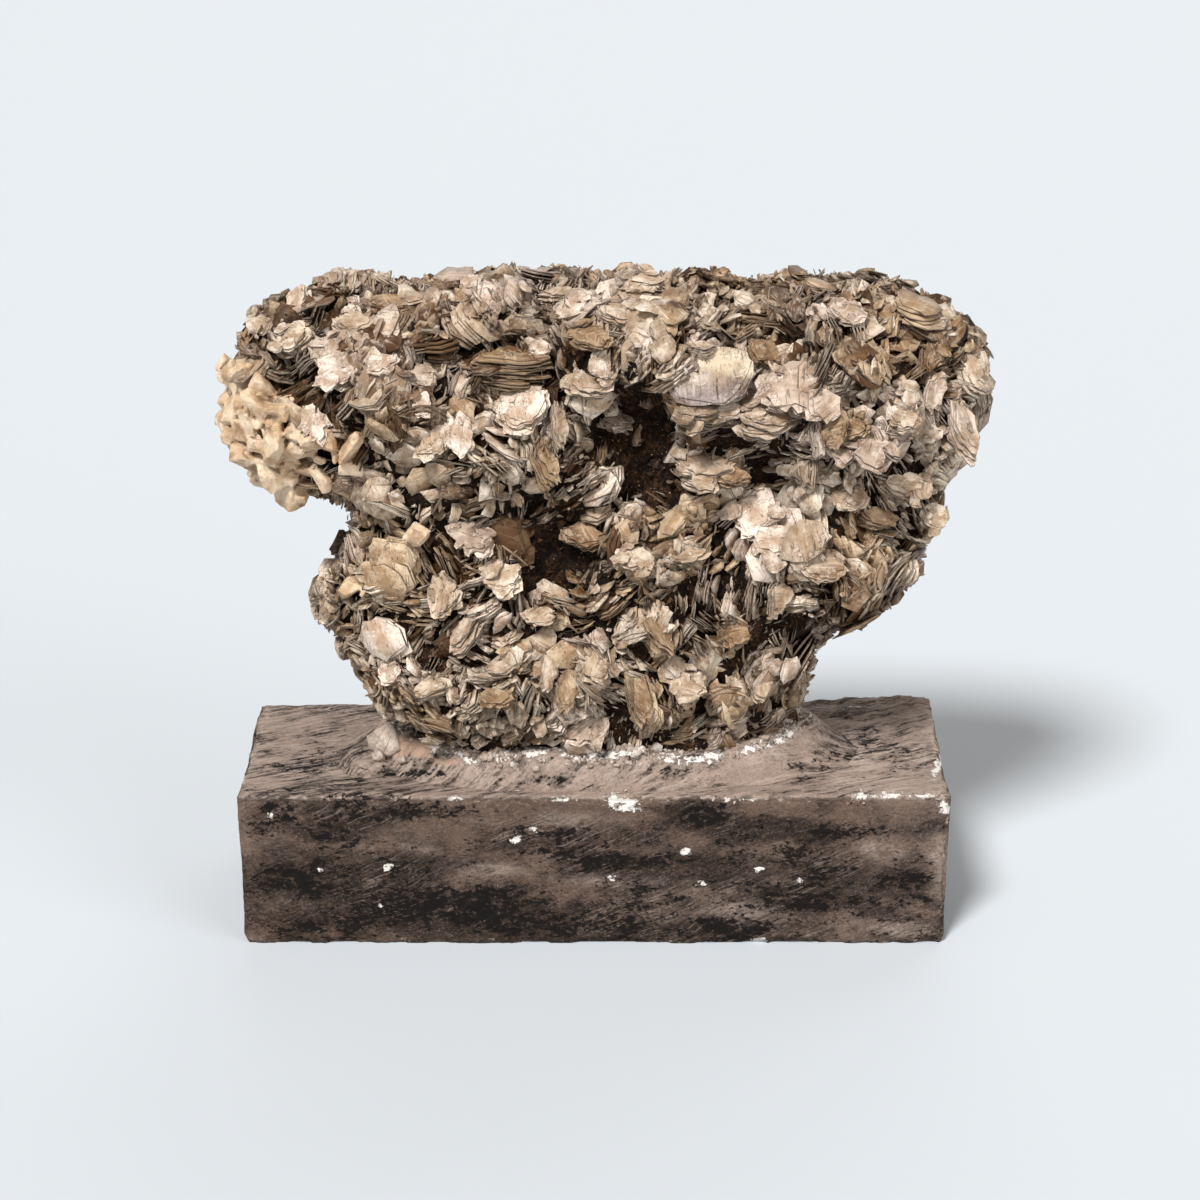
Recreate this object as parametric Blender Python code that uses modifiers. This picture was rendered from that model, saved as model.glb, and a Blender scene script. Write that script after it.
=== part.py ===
"""A cluster of mica books grown together, standing in trowelled plaster on a cast plaster block.

Metres, +Z up. The origin is the middle of the block's underside, and -Y is the face that is shown.
Three pieces: the block, the bedding that was trowelled round the foot, and the cluster itself.
"""

import math

import bmesh
import bpy
from mathutils import Matrix, Vector

MM = 0.001

# The block: a plain casting with soft arrises.
BLOCK_WIDTH = 211 * MM
BLOCK_DEPTH = 79 * MM
BLOCK_HEIGHT = 48 * MM
BLOCK_ARRIS = 2.5 * MM
ARRIS_STEPS = 3

# Meshes hold 32-bit numbers, so touching pieces stand this far apart.
GAP = 0.3 * MM
MERGE_DISTANCE = 0.001 * MM
LUMP_SUBDIVISIONS = 3  # of each round lump or hollow

# The bedding: a low oval mound with hollow slopes.
BEDDING_CENTRE = Vector((2 * MM, 0.5 * MM, 0))
BEDDING_WIDTH = 166 * MM
BEDDING_DEPTH = 74 * MM
BEDDING_HEIGHT = 9.5 * MM
BEDDING_EDGE = 1.2 * MM
BEDDING_ROOT = 2 * MM  # trimmed off level with the block's top
BEDDING_SHOULDER = 0.80  # the level top's share of the radius
BEDDING_SLOPE_STEPS = 6
BEDDING_SLOPE_POWER = 1.7  # over 1 makes the slope hollow
BEDDING_STEPS = 64
POCKET_CLEARANCE = 0.8 * MM
POCKET_GRID = 1.6 * MM
POCKET_FACES_KEPT = 0.3
# Dabs of plaster pushed out past the mound: centre, then half sizes, in millimetres.
BEDDING_DABS = (
    ((80, 27, 47.5), (23, 10, 4.5)),
    ((-68, -12, 48.5), (10, 12, 6)),
)

# The cluster's girth at each height: height, left, right, front and back, in millimetres.
CLUSTER_GIRTHS = (
    (37, -50, 53, -19, 23),
    (48, -57, 59, -23, 27),
    (56, -62, 62, -27, 31),
    (65, -68, 66, -30, 33),
    (76, -75, 69, -33, 34),
    (85, -80, 74, -35, 35),
    (90, -84, 78, -36, 35),
    (96, -86, 89, -36, 35),
    (103, -85, 99, -36, 34),
    (111, -80, 101, -36, 33),
    (119, -75, 103, -35, 33),
    (127, -76, 105, -34, 32),
    (134, -96, 108, -35, 31),
    (141, -103, 111, -38, 34),
    (151, -104, 114, -39, 35),
    (163, -107, 116, -39, 35),
    (172, -108, 118, -38, 35),
    (181, -104, 113, -34, 33),
    (189, -94, 99, -27, 28),
    (194, -80, 80, -17, 19),
)
GIRTH_STEPS = 72
GIRTH_SQUARENESS = 2.5

# Swellings that grew out of the main mass: centre, then half sizes, in millimetres.
SWELLINGS = (
    ((18, -2, 183), (36, 16, 17)),
    ((60, 0, 180), (25, 15, 16)),
    ((-66, 0, 179), (24, 15, 17)),
    ((-84, -2, 172), (22, 20, 18)),
    ((14, -22, 175), (28, 21, 19)),
    ((62, -22, 161), (34, 22, 24)),
    ((-60, -20, 164), (30, 22, 22)),
    ((-89, -6, 160), (17, 27, 24)),
    ((-30, -25, 147), (22, 19, 14)),
    ((-22, -18, 79), (50, 21, 24)),
    ((60, -16, 113), (36, 22, 24)),
    ((99, -3, 160), (18, 26, 19)),
    ((-52, 18, 153), (34, 22, 24)),
    ((42, 20, 161), (40, 20, 22)),
    ((4, 18, 101), (46, 20, 30)),
)

# Hollows between the swellings: centre, then half sizes, in millimetres.
HOLLOWS = (
    ((12, -46, 156), (16, 22, 16)),
    ((19, -44, 141), (13, 20, 14)),
    ((-8, -44, 122), (14, 17, 9)),
    ((-18, -44, 111), (19, 17, 9)),
    ((-36, -47, 128), (20, 15, 6)),
    ((4, -44, 132), (20, 13, 5)),
    ((56, -42, 91), (14, 14, 7)),
    ((66, -40, 82), (10, 14, 6)),
    ((34, -34, 69), (9, 11, 9)),
    ((-30, -38, 182), (19, 14, 6)),
    ((84, -45, 167), (18, 13, 11)),
    ((-63, -48, 150), (5, 14, 17)),
    ((-82, -40, 129), (18, 18, 6)),
    ((48, -44, 141), (5, 15, 20)),
    ((30, 46, 129), (24, 16, 14)),
    ((-30, 44, 119), (14, 14, 18)),
    ((-46, 42, 107), (18, 14, 8)),
    ((72, 40, 177), (16, 14, 10)),
    ((-20, 40, 182), (18, 14, 8)),
)
HOLLOW_GRID = 2.5 * MM
HOLLOW_RAGGEDNESS = 9 * MM
HOLLOW_NOISE_SIZE = 14 * MM

# How the cluster's skin is made: joined on a grid, worn, roughened, then thinned out.
JOIN_GRID = 3.2 * MM
WEAR_PASSES = 3
SWAY_SIZE = 34 * MM
SWAY_DEPTH = 9 * MM
LUMP_SIZE = 15 * MM
LUMP_HEIGHT = 5 * MM
LUMP_LEVEL = 0.42
CLUSTER_FACES_KEPT = 0.27
FOOT_CUTTER_SIDE = 300 * MM

# Each piece's finish: colour, then roughness.
FINISHES = {
    "painted_plaster": ((0.16, 0.12, 0.10), 0.8),
    "bare_plaster": ((0.38, 0.32, 0.27), 0.85),
    "mica": ((0.42, 0.34, 0.26), 0.45),
}


def clear_scene():
    for thing in list(bpy.data.objects):
        bpy.data.objects.remove(thing)


def collection(name, shown=True):
    made = bpy.data.collections.new(name)
    made.hide_render = not shown
    bpy.context.scene.collection.children.link(made)
    return made


def give_finish(thing, name):
    """Gives one piece its plain surface."""
    colour, roughness = FINISHES[name]
    made = bpy.data.materials.new(name)
    made.use_nodes = True
    shader = made.node_tree.nodes["Principled BSDF"]
    shader.inputs["Base Color"].default_value = (*colour, 1)
    shader.inputs["Roughness"].default_value = roughness
    shader.inputs["Metallic"].default_value = 0
    thing.data.materials.append(made)


def object_from(bm, name, home):
    """Turns a bmesh into an object in the given collection."""
    mesh = bpy.data.meshes.new(name)
    bm.to_mesh(mesh)
    bm.free()
    made = bpy.data.objects.new(name, mesh)
    home.objects.link(made)
    return made


def helper(thing):
    """A cutter or guide, which is not one of the pieces."""
    thing.hide_render = True
    thing.display_type = "WIRE"
    return thing


def finished_mesh(thing):
    """A new mesh of the object's shape after its modifiers."""
    bpy.context.view_layer.update()
    graph = bpy.context.evaluated_depsgraph_get()
    return bpy.data.meshes.new_from_object(thing.evaluated_get(graph), depsgraph=graph)


def apply_modifiers(thing):
    mesh = finished_mesh(thing)
    thing.modifiers.clear()
    thing.data = mesh


def girth_point(angle, girth):
    """A point on a rounded-square ring round the cluster."""
    height, left, right, front, back = girth
    power = 2 / GIRTH_SQUARENESS
    across = math.copysign(abs(math.cos(angle)) ** power, math.cos(angle))
    along = math.copysign(abs(math.sin(angle)) ** power, math.sin(angle))
    x = (left + right) / 2 + (right - left) / 2 * across
    y = (front + back) / 2 + (back - front) / 2 * along
    return Vector((x, y, height)) * MM


def main_mass():
    """The cluster's bulk: one ring drawn up through every girth, closed at both ends."""
    bm = bmesh.new()
    ring = bmesh.ops.create_circle(bm, segments=GIRTH_STEPS, radius=1)["verts"]
    angles = [math.atan2(v.co.y, v.co.x) for v in ring]
    edges = list(bm.edges)
    bmesh.ops.contextual_create(bm, geom=edges)
    for vert, angle in zip(ring, angles):
        vert.co = girth_point(angle, CLUSTER_GIRTHS[0])
    for girth in CLUSTER_GIRTHS[1:]:
        new = bmesh.ops.extrude_edge_only(bm, edges=edges)["geom"]
        edges = [e for e in new if isinstance(e, bmesh.types.BMEdge)]
        ring = [v for v in new if isinstance(v, bmesh.types.BMVert)]
        for vert, angle in zip(ring, angles):
            vert.co = girth_point(angle, girth)
    bmesh.ops.contextual_create(bm, geom=edges)
    bmesh.ops.recalc_face_normals(bm, faces=bm.faces)
    return bm


def add_lump(bm, centre, half_sizes):
    """A round lump, its centre and half sizes in millimetres."""
    place = Matrix.Translation(Vector(centre) * MM) @ Matrix.Diagonal(Vector(half_sizes) * MM).to_4x4()
    bmesh.ops.create_icosphere(bm, subdivisions=LUMP_SUBDIVISIONS, radius=1, matrix=place)


def lumps(name, places, home):
    """One object that holds a round lump at each place."""
    bm = bmesh.new()
    for centre, half_sizes in places:
        add_lump(bm, centre, half_sizes)
    return object_from(bm, name, home)


def add_remesh(thing, grid):
    made = thing.modifiers.new("join", "REMESH")
    made.mode = "VOXEL"
    made.voxel_size = grid


def add_roughness(thing, kind, size, height, level=0.5, direction="NORMAL"):
    """A Displace modifier driven by a noise of the given kind and size."""
    noise = bpy.data.textures.new(f"{thing.name}_{kind.lower()}", kind)
    noise.noise_scale = size
    made = thing.modifiers.new("roughness", "DISPLACE")
    made.texture = noise
    made.direction = direction
    made.strength = height
    made.mid_level = level


def add_thinning(thing, share_kept):
    made = thing.modifiers.new("thin", "DECIMATE")
    made.ratio = share_kept


def cut_away(thing, cutter):
    made = thing.modifiers.new(cutter.name, "BOOLEAN")
    made.operation = "DIFFERENCE"
    made.object = cutter


def make_hollows(cutters):
    """One ragged cutter for all the hollows."""
    made = helper(lumps("hollows", HOLLOWS, cutters))
    add_remesh(made, HOLLOW_GRID)
    add_roughness(made, "CLOUDS", HOLLOW_NOISE_SIZE, HOLLOW_RAGGEDNESS)
    add_remesh(made, HOLLOW_GRID)
    apply_modifiers(made)
    return made


def make_cluster(home, cutters):
    bm = main_mass()
    for centre, half_sizes in SWELLINGS:
        add_lump(bm, centre, half_sizes)
    cluster = object_from(bm, "mica_cluster", home)
    add_remesh(cluster, JOIN_GRID)
    cut_away(cluster, make_hollows(cutters))
    add_remesh(cluster, JOIN_GRID)
    wear = cluster.modifiers.new("wear", "SMOOTH")
    wear.iterations = WEAR_PASSES
    add_roughness(cluster, "CLOUDS", SWAY_SIZE, SWAY_DEPTH, direction="Y")
    add_roughness(cluster, "VORONOI", LUMP_SIZE, LUMP_HEIGHT, LUMP_LEVEL)
    apply_modifiers(cluster)
    add_thinning(cluster, CLUSTER_FACES_KEPT)
    cut_away(cluster, foot_cutter(cutters))
    give_finish(cluster, "mica")
    return cluster


def foot_cutter(cutters):
    """A box whose top is where the cluster stands, a gap above the block."""
    middle = Vector((0, 0, BLOCK_HEIGHT + GAP - FOOT_CUTTER_SIDE / 2))
    bm = bmesh.new()
    bmesh.ops.create_cube(bm, size=FOOT_CUTTER_SIDE, matrix=Matrix.Translation(middle))
    return helper(object_from(bm, "below_foot", cutters))


def make_block(home):
    bm = bmesh.new()
    bmesh.ops.create_cube(bm, size=1)
    bmesh.ops.scale(bm, vec=(BLOCK_WIDTH, BLOCK_DEPTH, BLOCK_HEIGHT), verts=bm.verts)
    bmesh.ops.translate(bm, vec=(0, 0, BLOCK_HEIGHT / 2), verts=bm.verts)
    block = object_from(bm, "plaster_block", home)
    soften = block.modifiers.new("arris", "BEVEL")
    soften.width = BLOCK_ARRIS
    soften.segments = ARRIS_STEPS
    give_finish(block, "painted_plaster")


def bedding_profile():
    """Half the mound's section, from the middle of its underside round to the middle of its top."""
    points = [(0.0, -BEDDING_ROOT), (1.0, -BEDDING_ROOT), (1.0, BEDDING_EDGE)]
    for step in range(1, BEDDING_SLOPE_STEPS + 1):
        share = step / BEDDING_SLOPE_STEPS
        rise = share ** BEDDING_SLOPE_POWER
        radius = 1 - (1 - BEDDING_SHOULDER) * share
        points.append((radius, BEDDING_EDGE + (BEDDING_HEIGHT - BEDDING_EDGE) * rise))
    points.append((0.0, BEDDING_HEIGHT))
    return points


def mound():
    """The bedding before its dabs and pocket: a turned oval mound."""
    bm = bmesh.new()
    profile = [bm.verts.new((radius, 0, height)) for radius, height in bedding_profile()]
    for below, above in zip(profile, profile[1:]):
        bm.edges.new((below, above))
    bmesh.ops.spin(
        bm,
        geom=list(bm.verts) + list(bm.edges),
        cent=(0, 0, 0),
        axis=(0, 0, 1),
        angle=math.tau,
        steps=BEDDING_STEPS,
        use_merge=True,
    )
    bmesh.ops.remove_doubles(bm, verts=bm.verts, dist=MERGE_DISTANCE)
    bmesh.ops.scale(bm, vec=(BEDDING_WIDTH / 2, BEDDING_DEPTH / 2, 1), verts=bm.verts)
    bmesh.ops.recalc_face_normals(bm, faces=bm.faces)
    lift = BEDDING_CENTRE + Vector((0, 0, BLOCK_HEIGHT + GAP))
    bmesh.ops.translate(bm, vec=lift, verts=bm.verts)
    return bm


def make_pocket(cluster, cutters):
    """The cutter for the cluster's foot: the cluster itself, swollen by the clearance."""
    pocket = helper(bpy.data.objects.new("pocket", finished_mesh(cluster)))
    cutters.objects.link(pocket)
    swell = pocket.modifiers.new("clearance", "DISPLACE")
    swell.strength = POCKET_CLEARANCE
    swell.mid_level = 0
    add_remesh(pocket, POCKET_GRID)
    add_thinning(pocket, POCKET_FACES_KEPT)
    apply_modifiers(pocket)
    return pocket


def make_bedding(home, cutters, cluster):
    bedding = object_from(mound(), "plaster_bedding", home)
    join = bedding.modifiers.new("dabs", "BOOLEAN")
    join.operation = "UNION"
    join.object = helper(lumps("dabs", BEDDING_DABS, cutters))
    cut_away(bedding, cutters.objects["below_foot"])
    cut_away(bedding, make_pocket(cluster, cutters))
    give_finish(bedding, "bare_plaster")


clear_scene()
pieces = collection("mica_specimen")
cutting = collection("cutters", shown=False)
make_block(pieces)
specimen = make_cluster(pieces, cutting)
make_bedding(pieces, cutting, specimen)
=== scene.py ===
import math

import bmesh
import bpy
import numpy as np
from mathutils import Matrix, Vector, noise
from mathutils.bvhtree import BVHTree
from mathutils.kdtree import KDTree


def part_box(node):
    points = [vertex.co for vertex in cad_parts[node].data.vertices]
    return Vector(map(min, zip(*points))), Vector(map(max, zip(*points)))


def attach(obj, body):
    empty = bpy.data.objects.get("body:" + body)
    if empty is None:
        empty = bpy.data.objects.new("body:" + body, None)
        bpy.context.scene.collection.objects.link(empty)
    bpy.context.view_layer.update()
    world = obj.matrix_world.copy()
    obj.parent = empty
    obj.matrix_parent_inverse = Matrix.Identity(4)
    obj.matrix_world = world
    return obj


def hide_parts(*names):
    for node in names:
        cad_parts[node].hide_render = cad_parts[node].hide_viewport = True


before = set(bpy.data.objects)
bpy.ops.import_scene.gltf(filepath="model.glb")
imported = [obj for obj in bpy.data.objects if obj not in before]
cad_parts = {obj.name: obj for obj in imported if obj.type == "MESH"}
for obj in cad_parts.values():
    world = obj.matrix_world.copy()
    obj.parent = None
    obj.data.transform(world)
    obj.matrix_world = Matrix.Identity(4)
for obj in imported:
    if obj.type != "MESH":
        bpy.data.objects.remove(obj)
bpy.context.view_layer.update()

# ---------------------------------------------------------------- viewpoint and light
# A long lens looks down on the specimen, which stands on a pale bench under a wide soft lamp
# high on the left, with a weaker one on the right and pale walls all round.
FRAME_PX = 1200
LENS_MM, SENSOR_MM = 75, 36
FOCAL_PX = FRAME_PX * LENS_MM / SENSOR_MM
LOOK_DOWN = math.radians(18.5)
VIEW_FROM = Vector((0.00177, -0.71936, 0.33666))
VIEW_RIGHT = Vector((1, 0, 0))
VIEW_AHEAD = Vector((0, math.cos(LOOK_DOWN), -math.sin(LOOK_DOWN)))
VIEW_UP = Vector((0, math.sin(LOOK_DOWN), math.cos(LOOK_DOWN)))


def shown(name, data):
    """A new object of the scene that holds a mesh, a lamp or a camera."""
    made = bpy.data.objects.new(name, data)
    bpy.context.scene.collection.objects.link(made)
    return made


camera_data = bpy.data.cameras.new("viewpoint")
camera_data.lens, camera_data.sensor_width = LENS_MM, SENSOR_MM
camera = shown("viewpoint", camera_data)
camera.location = VIEW_FROM
camera.rotation_euler = (math.pi / 2 - LOOK_DOWN, 0, 0)
bpy.context.scene.camera = camera
bpy.context.scene.view_settings.view_transform = "Standard"

LAMPS = {  # where each lamp stands from the object, its strength and how wide it looks
    "lamp_left": ((-0.42, -0.82, 1.0), 3.95, math.radians(14)),
    "lamp_right": ((0.95, -0.75, 0.45), 1.15, math.radians(40)),
    "lamp_behind": ((0.25, 1.0, 0.55), 0.9, math.radians(60)),
}
for name, (stands, strength, width) in LAMPS.items():
    lamp = bpy.data.lights.new(name, "SUN")
    lamp.energy, lamp.angle = strength, width
    shown(name, lamp).rotation_euler = Vector(stands).to_track_quat("Z", "Y").to_euler()

WALL_COLOUR, WALL_STRENGTH = (0.90, 0.85, 0.79, 1), 0.27
walls = bpy.data.worlds.new("walls")
walls.use_nodes = True
wall_light = walls.node_tree.nodes["Background"].inputs
wall_light["Color"].default_value = WALL_COLOUR
wall_light["Strength"].default_value = WALL_STRENGTH
bpy.context.scene.world = walls

BENCH_REACH, BENCH_COLOUR, BENCH_ROUGHNESS = 9.0, (0.570, 0.604, 0.636, 1), 0.9
bench_mesh = bmesh.new()
bmesh.ops.create_grid(bench_mesh, x_segments=2, y_segments=2, size=BENCH_REACH)
bench_data = bpy.data.meshes.new("bench")
bench_mesh.to_mesh(bench_data)
bench = shown("bench", bench_data)
bench_finish = bpy.data.materials.new("bench")
bench_finish.use_nodes = True
bench_surface = bench_finish.node_tree.nodes["Principled BSDF"].inputs
bench_surface["Base Color"].default_value = BENCH_COLOUR
bench_surface["Roughness"].default_value = BENCH_ROUGHNESS
bench_data.materials.append(bench_finish)

# ---------------------------------------------------------------- plaster block
# The base is a brick of plaster cast in a wooden mould, its arrises rubbed and chipped and its
# foot ragged where it was broken out. Dark paint was dragged over it with a dry brush.
MM = 0.001
BLOCK_LOW, BLOCK_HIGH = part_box("plaster_block")
BLOCK_CELL = 1.3 * MM
BLOCK_FLARE = 0.034  # how much wider the casting is at its back
ARRIS_ROUND = 2.2 * MM
ARRIS_TURN = 0.29  # how far the way out turns from a face's own before the arris is at its full
HEAPED_FROM, HEAPED_OVER, HEAP_HIGH = (52, -16), (26, 46), 2.7  # mm of plaster at the back right
# Relief is a sum of waves, each given by its height and its length in millimetres.
BLOCK_DENTS, BLOCK_SUNK = ((0.55, 33), (0.35, 11)), 0.3
ARRIS_CHIPS, CHIPS_DEEP, ARRIS_GRIT = ((1, 7), (0.7, 2.9)), 2.0, ((0.5, 1.7),)
FOOT_RAGGED, HEAP_LUMPS = 1.8, ((1.1, 5), (0.6, 2))
# Marks count only where the viewpoint sees the block, within this of its front or its top.
SEEN_DEEP, LYING_DEEP, RUBBED_WIDE = 3 * MM, 1.2 * MM, 4.5 * MM
# Each mark's middle in pixels of the view, half its length, half its height and its lean.
BLACK_STROKES = [
    ((351, 801), (16, 7), 8), ((432, 812), (42, 9), 2), ((336, 841), (30, 7), -6),
    ((699, 814), (26, 10), 0), ((642, 860), (66, 7), -1), ((903, 884), (30, 14), 6),
    ((300, 880), (40, 16), 4), ((470, 905), (80, 18), 0), ((760, 850), (50, 10), -3),
    ((850, 830), (40, 9), 3), ((560, 925), (90, 10), 0), ((268, 820), (20, 18), 12),
    ((840, 905), (60, 9), 0), ((740, 925), (50, 8), 0), ((330, 925), (60, 12), 0),
    ((796, 778), (34, 5), 4), ((900, 771), (22, 8), 8), ((866, 728), (14, 7), 0),
    ((340, 752), (34, 5), 6), ((296, 766), (34, 6), 3), ((430, 774), (36, 4), 0),
    ((690, 768), (44, 4), 10), ((262, 736), (16, 4), 0), ((560, 784), (30, 4), -4),
    ((880, 745), (30, 8), -20), ((830, 760), (40, 5), 10), ((250, 790), (24, 5), 0),
]
PALE_PATCHES = [
    ((938, 864), (12, 26), 0), ((749, 911), (40, 10), 0), ((290, 905), (30, 10), -8),
    ((620, 880), (50, 6), 0), ((550, 820), (60, 8), 0), ((400, 850), (50, 6), -4),
    ((905, 930), (34, 8), 0), ((880, 850), (24, 10), -10), ((480, 870), (40, 8), 0),
    ((350, 772), (60, 5), 0), ((640, 790), (90, 4), 0), ((815, 735), (24, 14), 20),
    ((560, 765), (90, 8), 0), ((750, 758), (50, 6), 14), ((920, 720), (20, 10), 0),
    ((866, 750), (52, 36), 0), ((640, 785), (120, 8), 0),
]
SMOKED = [
    ((290, 895), (70, 40), 0), ((440, 915), (120, 24), 0), ((420, 865), (50, 16), 0),
    ((690, 868), (90, 14), 0), ((850, 890), (80, 22), 4), ((560, 935), (120, 12), 0),
    ((330, 830), (36, 12), 10), ((690, 815), (30, 14), 0), ((760, 830), (60, 12), 0),
]
WHITE_CHIPS = [
    ((533, 830), (7, 5), 0), ((388, 867), (7, 5), 20), ((513, 841), (4, 6), 0),
    ((622, 803), (22, 11), -20), ((900, 796), (46, 3.4), 0), ((944, 808), (8, 9), 0),
    ((687, 852), (8, 6), 0), ((560, 799), (14, 3), 0), ((457, 799), (10, 3), 0),
    ((497, 886), (4, 3), 0), ((758, 940), (10, 4), 0), ((612, 878), (7, 4), 0),
    ((700, 884), (7, 5), 0), ((800, 880), (5, 4), 0), ((320, 870), (4, 3), 0),
    ((270, 815), (6, 5), 0), ((240, 775), (5, 12), 20), ((938, 765), (5, 20), -20),
    ((760, 870), (8, 4), 0), ((380, 905), (6, 3), -30), ((740, 799), (30, 2.4), 0),
    ((858, 797), (10, 5), 0), ((520, 838), (5, 3), 60), ((640, 940), (5, 2), 0),
]


def sight_line(pixel):
    """The unit direction in which the viewpoint sees a pixel of the view."""
    right, up = (pixel[0] - FRAME_PX / 2) / FOCAL_PX, (FRAME_PX / 2 - pixel[1]) / FOCAL_PX
    return (VIEW_AHEAD + VIEW_RIGHT * right + VIEW_UP * up).normalized()


def in_frame(points):
    """The pixel at which the viewpoint sees each point."""
    away = points - np.array(VIEW_FROM)
    depth = away @ np.array(VIEW_AHEAD)
    return np.stack([FRAME_PX / 2 + FOCAL_PX * (away @ np.array(VIEW_RIGHT)) / depth,
                     FRAME_PX / 2 - FOCAL_PX * (away @ np.array(VIEW_UP)) / depth], 1)


def daubed(pixels, marks):
    """How strongly soft oval marks cover each pixel, from 0 to 1."""
    cover = np.zeros(len(pixels))
    for middle, (half_length, half_height), lean in marks:
        right, up = pixels[:, 0] - middle[0], middle[1] - pixels[:, 1]
        turn = math.radians(lean)
        along = (right * math.cos(turn) + up * math.sin(turn)) / half_length
        over = (up * math.cos(turn) - right * math.sin(turn)) / half_height
        cover = np.maximum(cover, np.clip(1.6 - np.hypot(along, over), 0, 1))
    return cover


def in_mesh(name, work, finish=None, smooth=False):
    """A bmesh becomes an object of the scene, at the origin."""
    data = bpy.data.meshes.new(name)
    work.to_mesh(data)
    work.free()
    if smooth:
        data.polygons.foreach_set("use_smooth", np.ones(len(data.polygons), bool))
    if finish:
        data.materials.append(finish)
    return shown(name, data)


def vertices_of(piece):
    """The places of a piece's vertices, a row each."""
    places = np.zeros(len(piece.data.vertices) * 3, np.float32)
    piece.data.vertices.foreach_get("co", places)
    return places.reshape(-1, 3)


def rough(mm, waves, base=0):
    """Random relief at a place in millimetres: the base and its waves."""
    return sum((height * noise.noise(mm / length) for height, length in waves), base)


def mark(piece, name, values):
    """Keeps one number a vertex, which the finish reads by name."""
    layer = piece.data.attributes.new(name, "FLOAT", "POINT")
    layer.data.foreach_set("value", np.asarray(values, np.float32))


class Value:
    """A number or colour that varies over a surface: arithmetic on it adds Math nodes."""

    def __init__(self, finish, socket):
        self.finish, self.socket = finish, socket

    def math(self, operation, *others):
        inputs = dict(enumerate([self, *others]))
        return self.finish.node("ShaderNodeMath", {"operation": operation}, inputs)

    def __add__(self, other):
        return self.math("ADD", other)

    def __sub__(self, other):
        return self.math("SUBTRACT", other)

    def __rsub__(self, other):
        return self.finish.node("ShaderNodeMath", {"operation": "SUBTRACT"}, {0: other, 1: self})

    def __mul__(self, other):
        return self.math("MULTIPLY", other)

    def __truediv__(self, other):
        return self.math("DIVIDE", other)

    def __lt__(self, other):
        return self.math("LESS_THAN", other)

    __radd__, __rmul__ = __add__, __mul__


class Finish:
    """A material made of nodes, all of them from node()."""

    def __init__(self, name):
        self.material = bpy.data.materials.new(name)
        self.material.use_nodes = True
        self.tree = self.material.node_tree
        self.surface = self.tree.nodes["Principled BSDF"]

    def node(self, kind, settings=None, sockets=None, output=0):
        """One output of a new node; its settings come first, then its sockets' values or links."""
        made = self.tree.nodes.new(kind)
        for key, value in (settings or {}).items():
            if key == "stops":
                while len(made.color_ramp.elements) < len(value):
                    made.color_ramp.elements.new(1)
                for element, (place, colour) in zip(made.color_ramp.elements, value):
                    element.position, element.color = place, colour
            else:
                setattr(made, key, value)
        for key, value in (sockets or {}).items():
            self.feed(made.inputs[key], value)
        return Value(self, made.outputs[output])

    def feed(self, socket, value):
        if isinstance(value, Value):
            self.tree.links.new(value.socket, socket)
        else:
            socket.default_value = value

    def place(self):
        return self.node("ShaderNodeTexCoord", output=3)

    def marked(self, name):
        return self.node("ShaderNodeAttribute", {"attribute_name": name}, output=2)

    def stretched(self, place, by):
        return self.node("ShaderNodeVectorMath", {"operation": "MULTIPLY"}, {0: place, 1: by})

    def grain(self, place, by, detail=4, roughness=0.55, distortion=0):
        """Cloudy grain from 0 to 1; by is how many grains there are in a metre each way."""
        return self.node(
            "ShaderNodeTexNoise", None,
            {"Vector": self.stretched(place, by), "Scale": 1, "Detail": detail,
             "Roughness": roughness, "Distortion": distortion})

    def between(self, value, low, high):
        """0 at low, 1 at high and an even swing from one to the other."""
        return self.node("ShaderNodeMapRange", {"interpolation_type": "SMOOTHSTEP"},
                         {"Value": value, "From Min": low, "From Max": high})

    def toned(self, tones, value):
        """The colours of a ramp, evenly spaced from 0 to 1."""
        stops = [(number / (len(tones) - 1), tone) for number, tone in enumerate(tones)]
        return self.node("ShaderNodeValToRGB", {"stops": stops}, {0: value})

    def mixed(self, share, under, over, blend="MIX"):
        return self.node("ShaderNodeMix", {"data_type": "RGBA", "blend_type": blend},
                         {0: share, 6: under, 7: over}, output=2)

    def layered(self, under, *coats):
        """Coats of colour laid over each other, each given by its share and its colour."""
        for share, over in coats:
            under = self.mixed(share, under, over)
        return under

    def relief(self, height, depth, strength):
        return self.node("ShaderNodeBump", None,
                         {"Height": height, "Distance": depth, "Strength": strength})

    def wear(self, **sockets):
        """The material, with the shader's sockets set."""
        for name, value in sockets.items():
            self.feed(self.surface.inputs[name.replace("_", " ")], value)
        return self.material


def tint(red, green, blue):
    """A colour as a painter reads it off a chart, 0 to 255, in the light that a surface returns."""
    parts = [c / 255 for c in (red, green, blue)]
    return (*[c / 12.92 if c <= 0.04045 else ((c + 0.055) / 1.055) ** 2.4 for c in parts], 1)


PLASTER_PALE = tint(190, 172, 159)
PLASTER_TOP = tint(166, 147, 134)
PLASTER_TAUPE = tint(98, 79, 67)
PAINT_BROWN = tint(42, 31, 25)
PAINT_BLACK = tint(15, 12, 11)
PLASTER_WHITE = tint(232, 224, 216)
PLASTER_WARM = tint(180, 150, 130)
COMBED = math.radians(-24)  # the way the trowel was drawn over the top
BRISTLES = (110, 520, 1500)  # how many streaks a dry brush leaves in a metre each way


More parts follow.
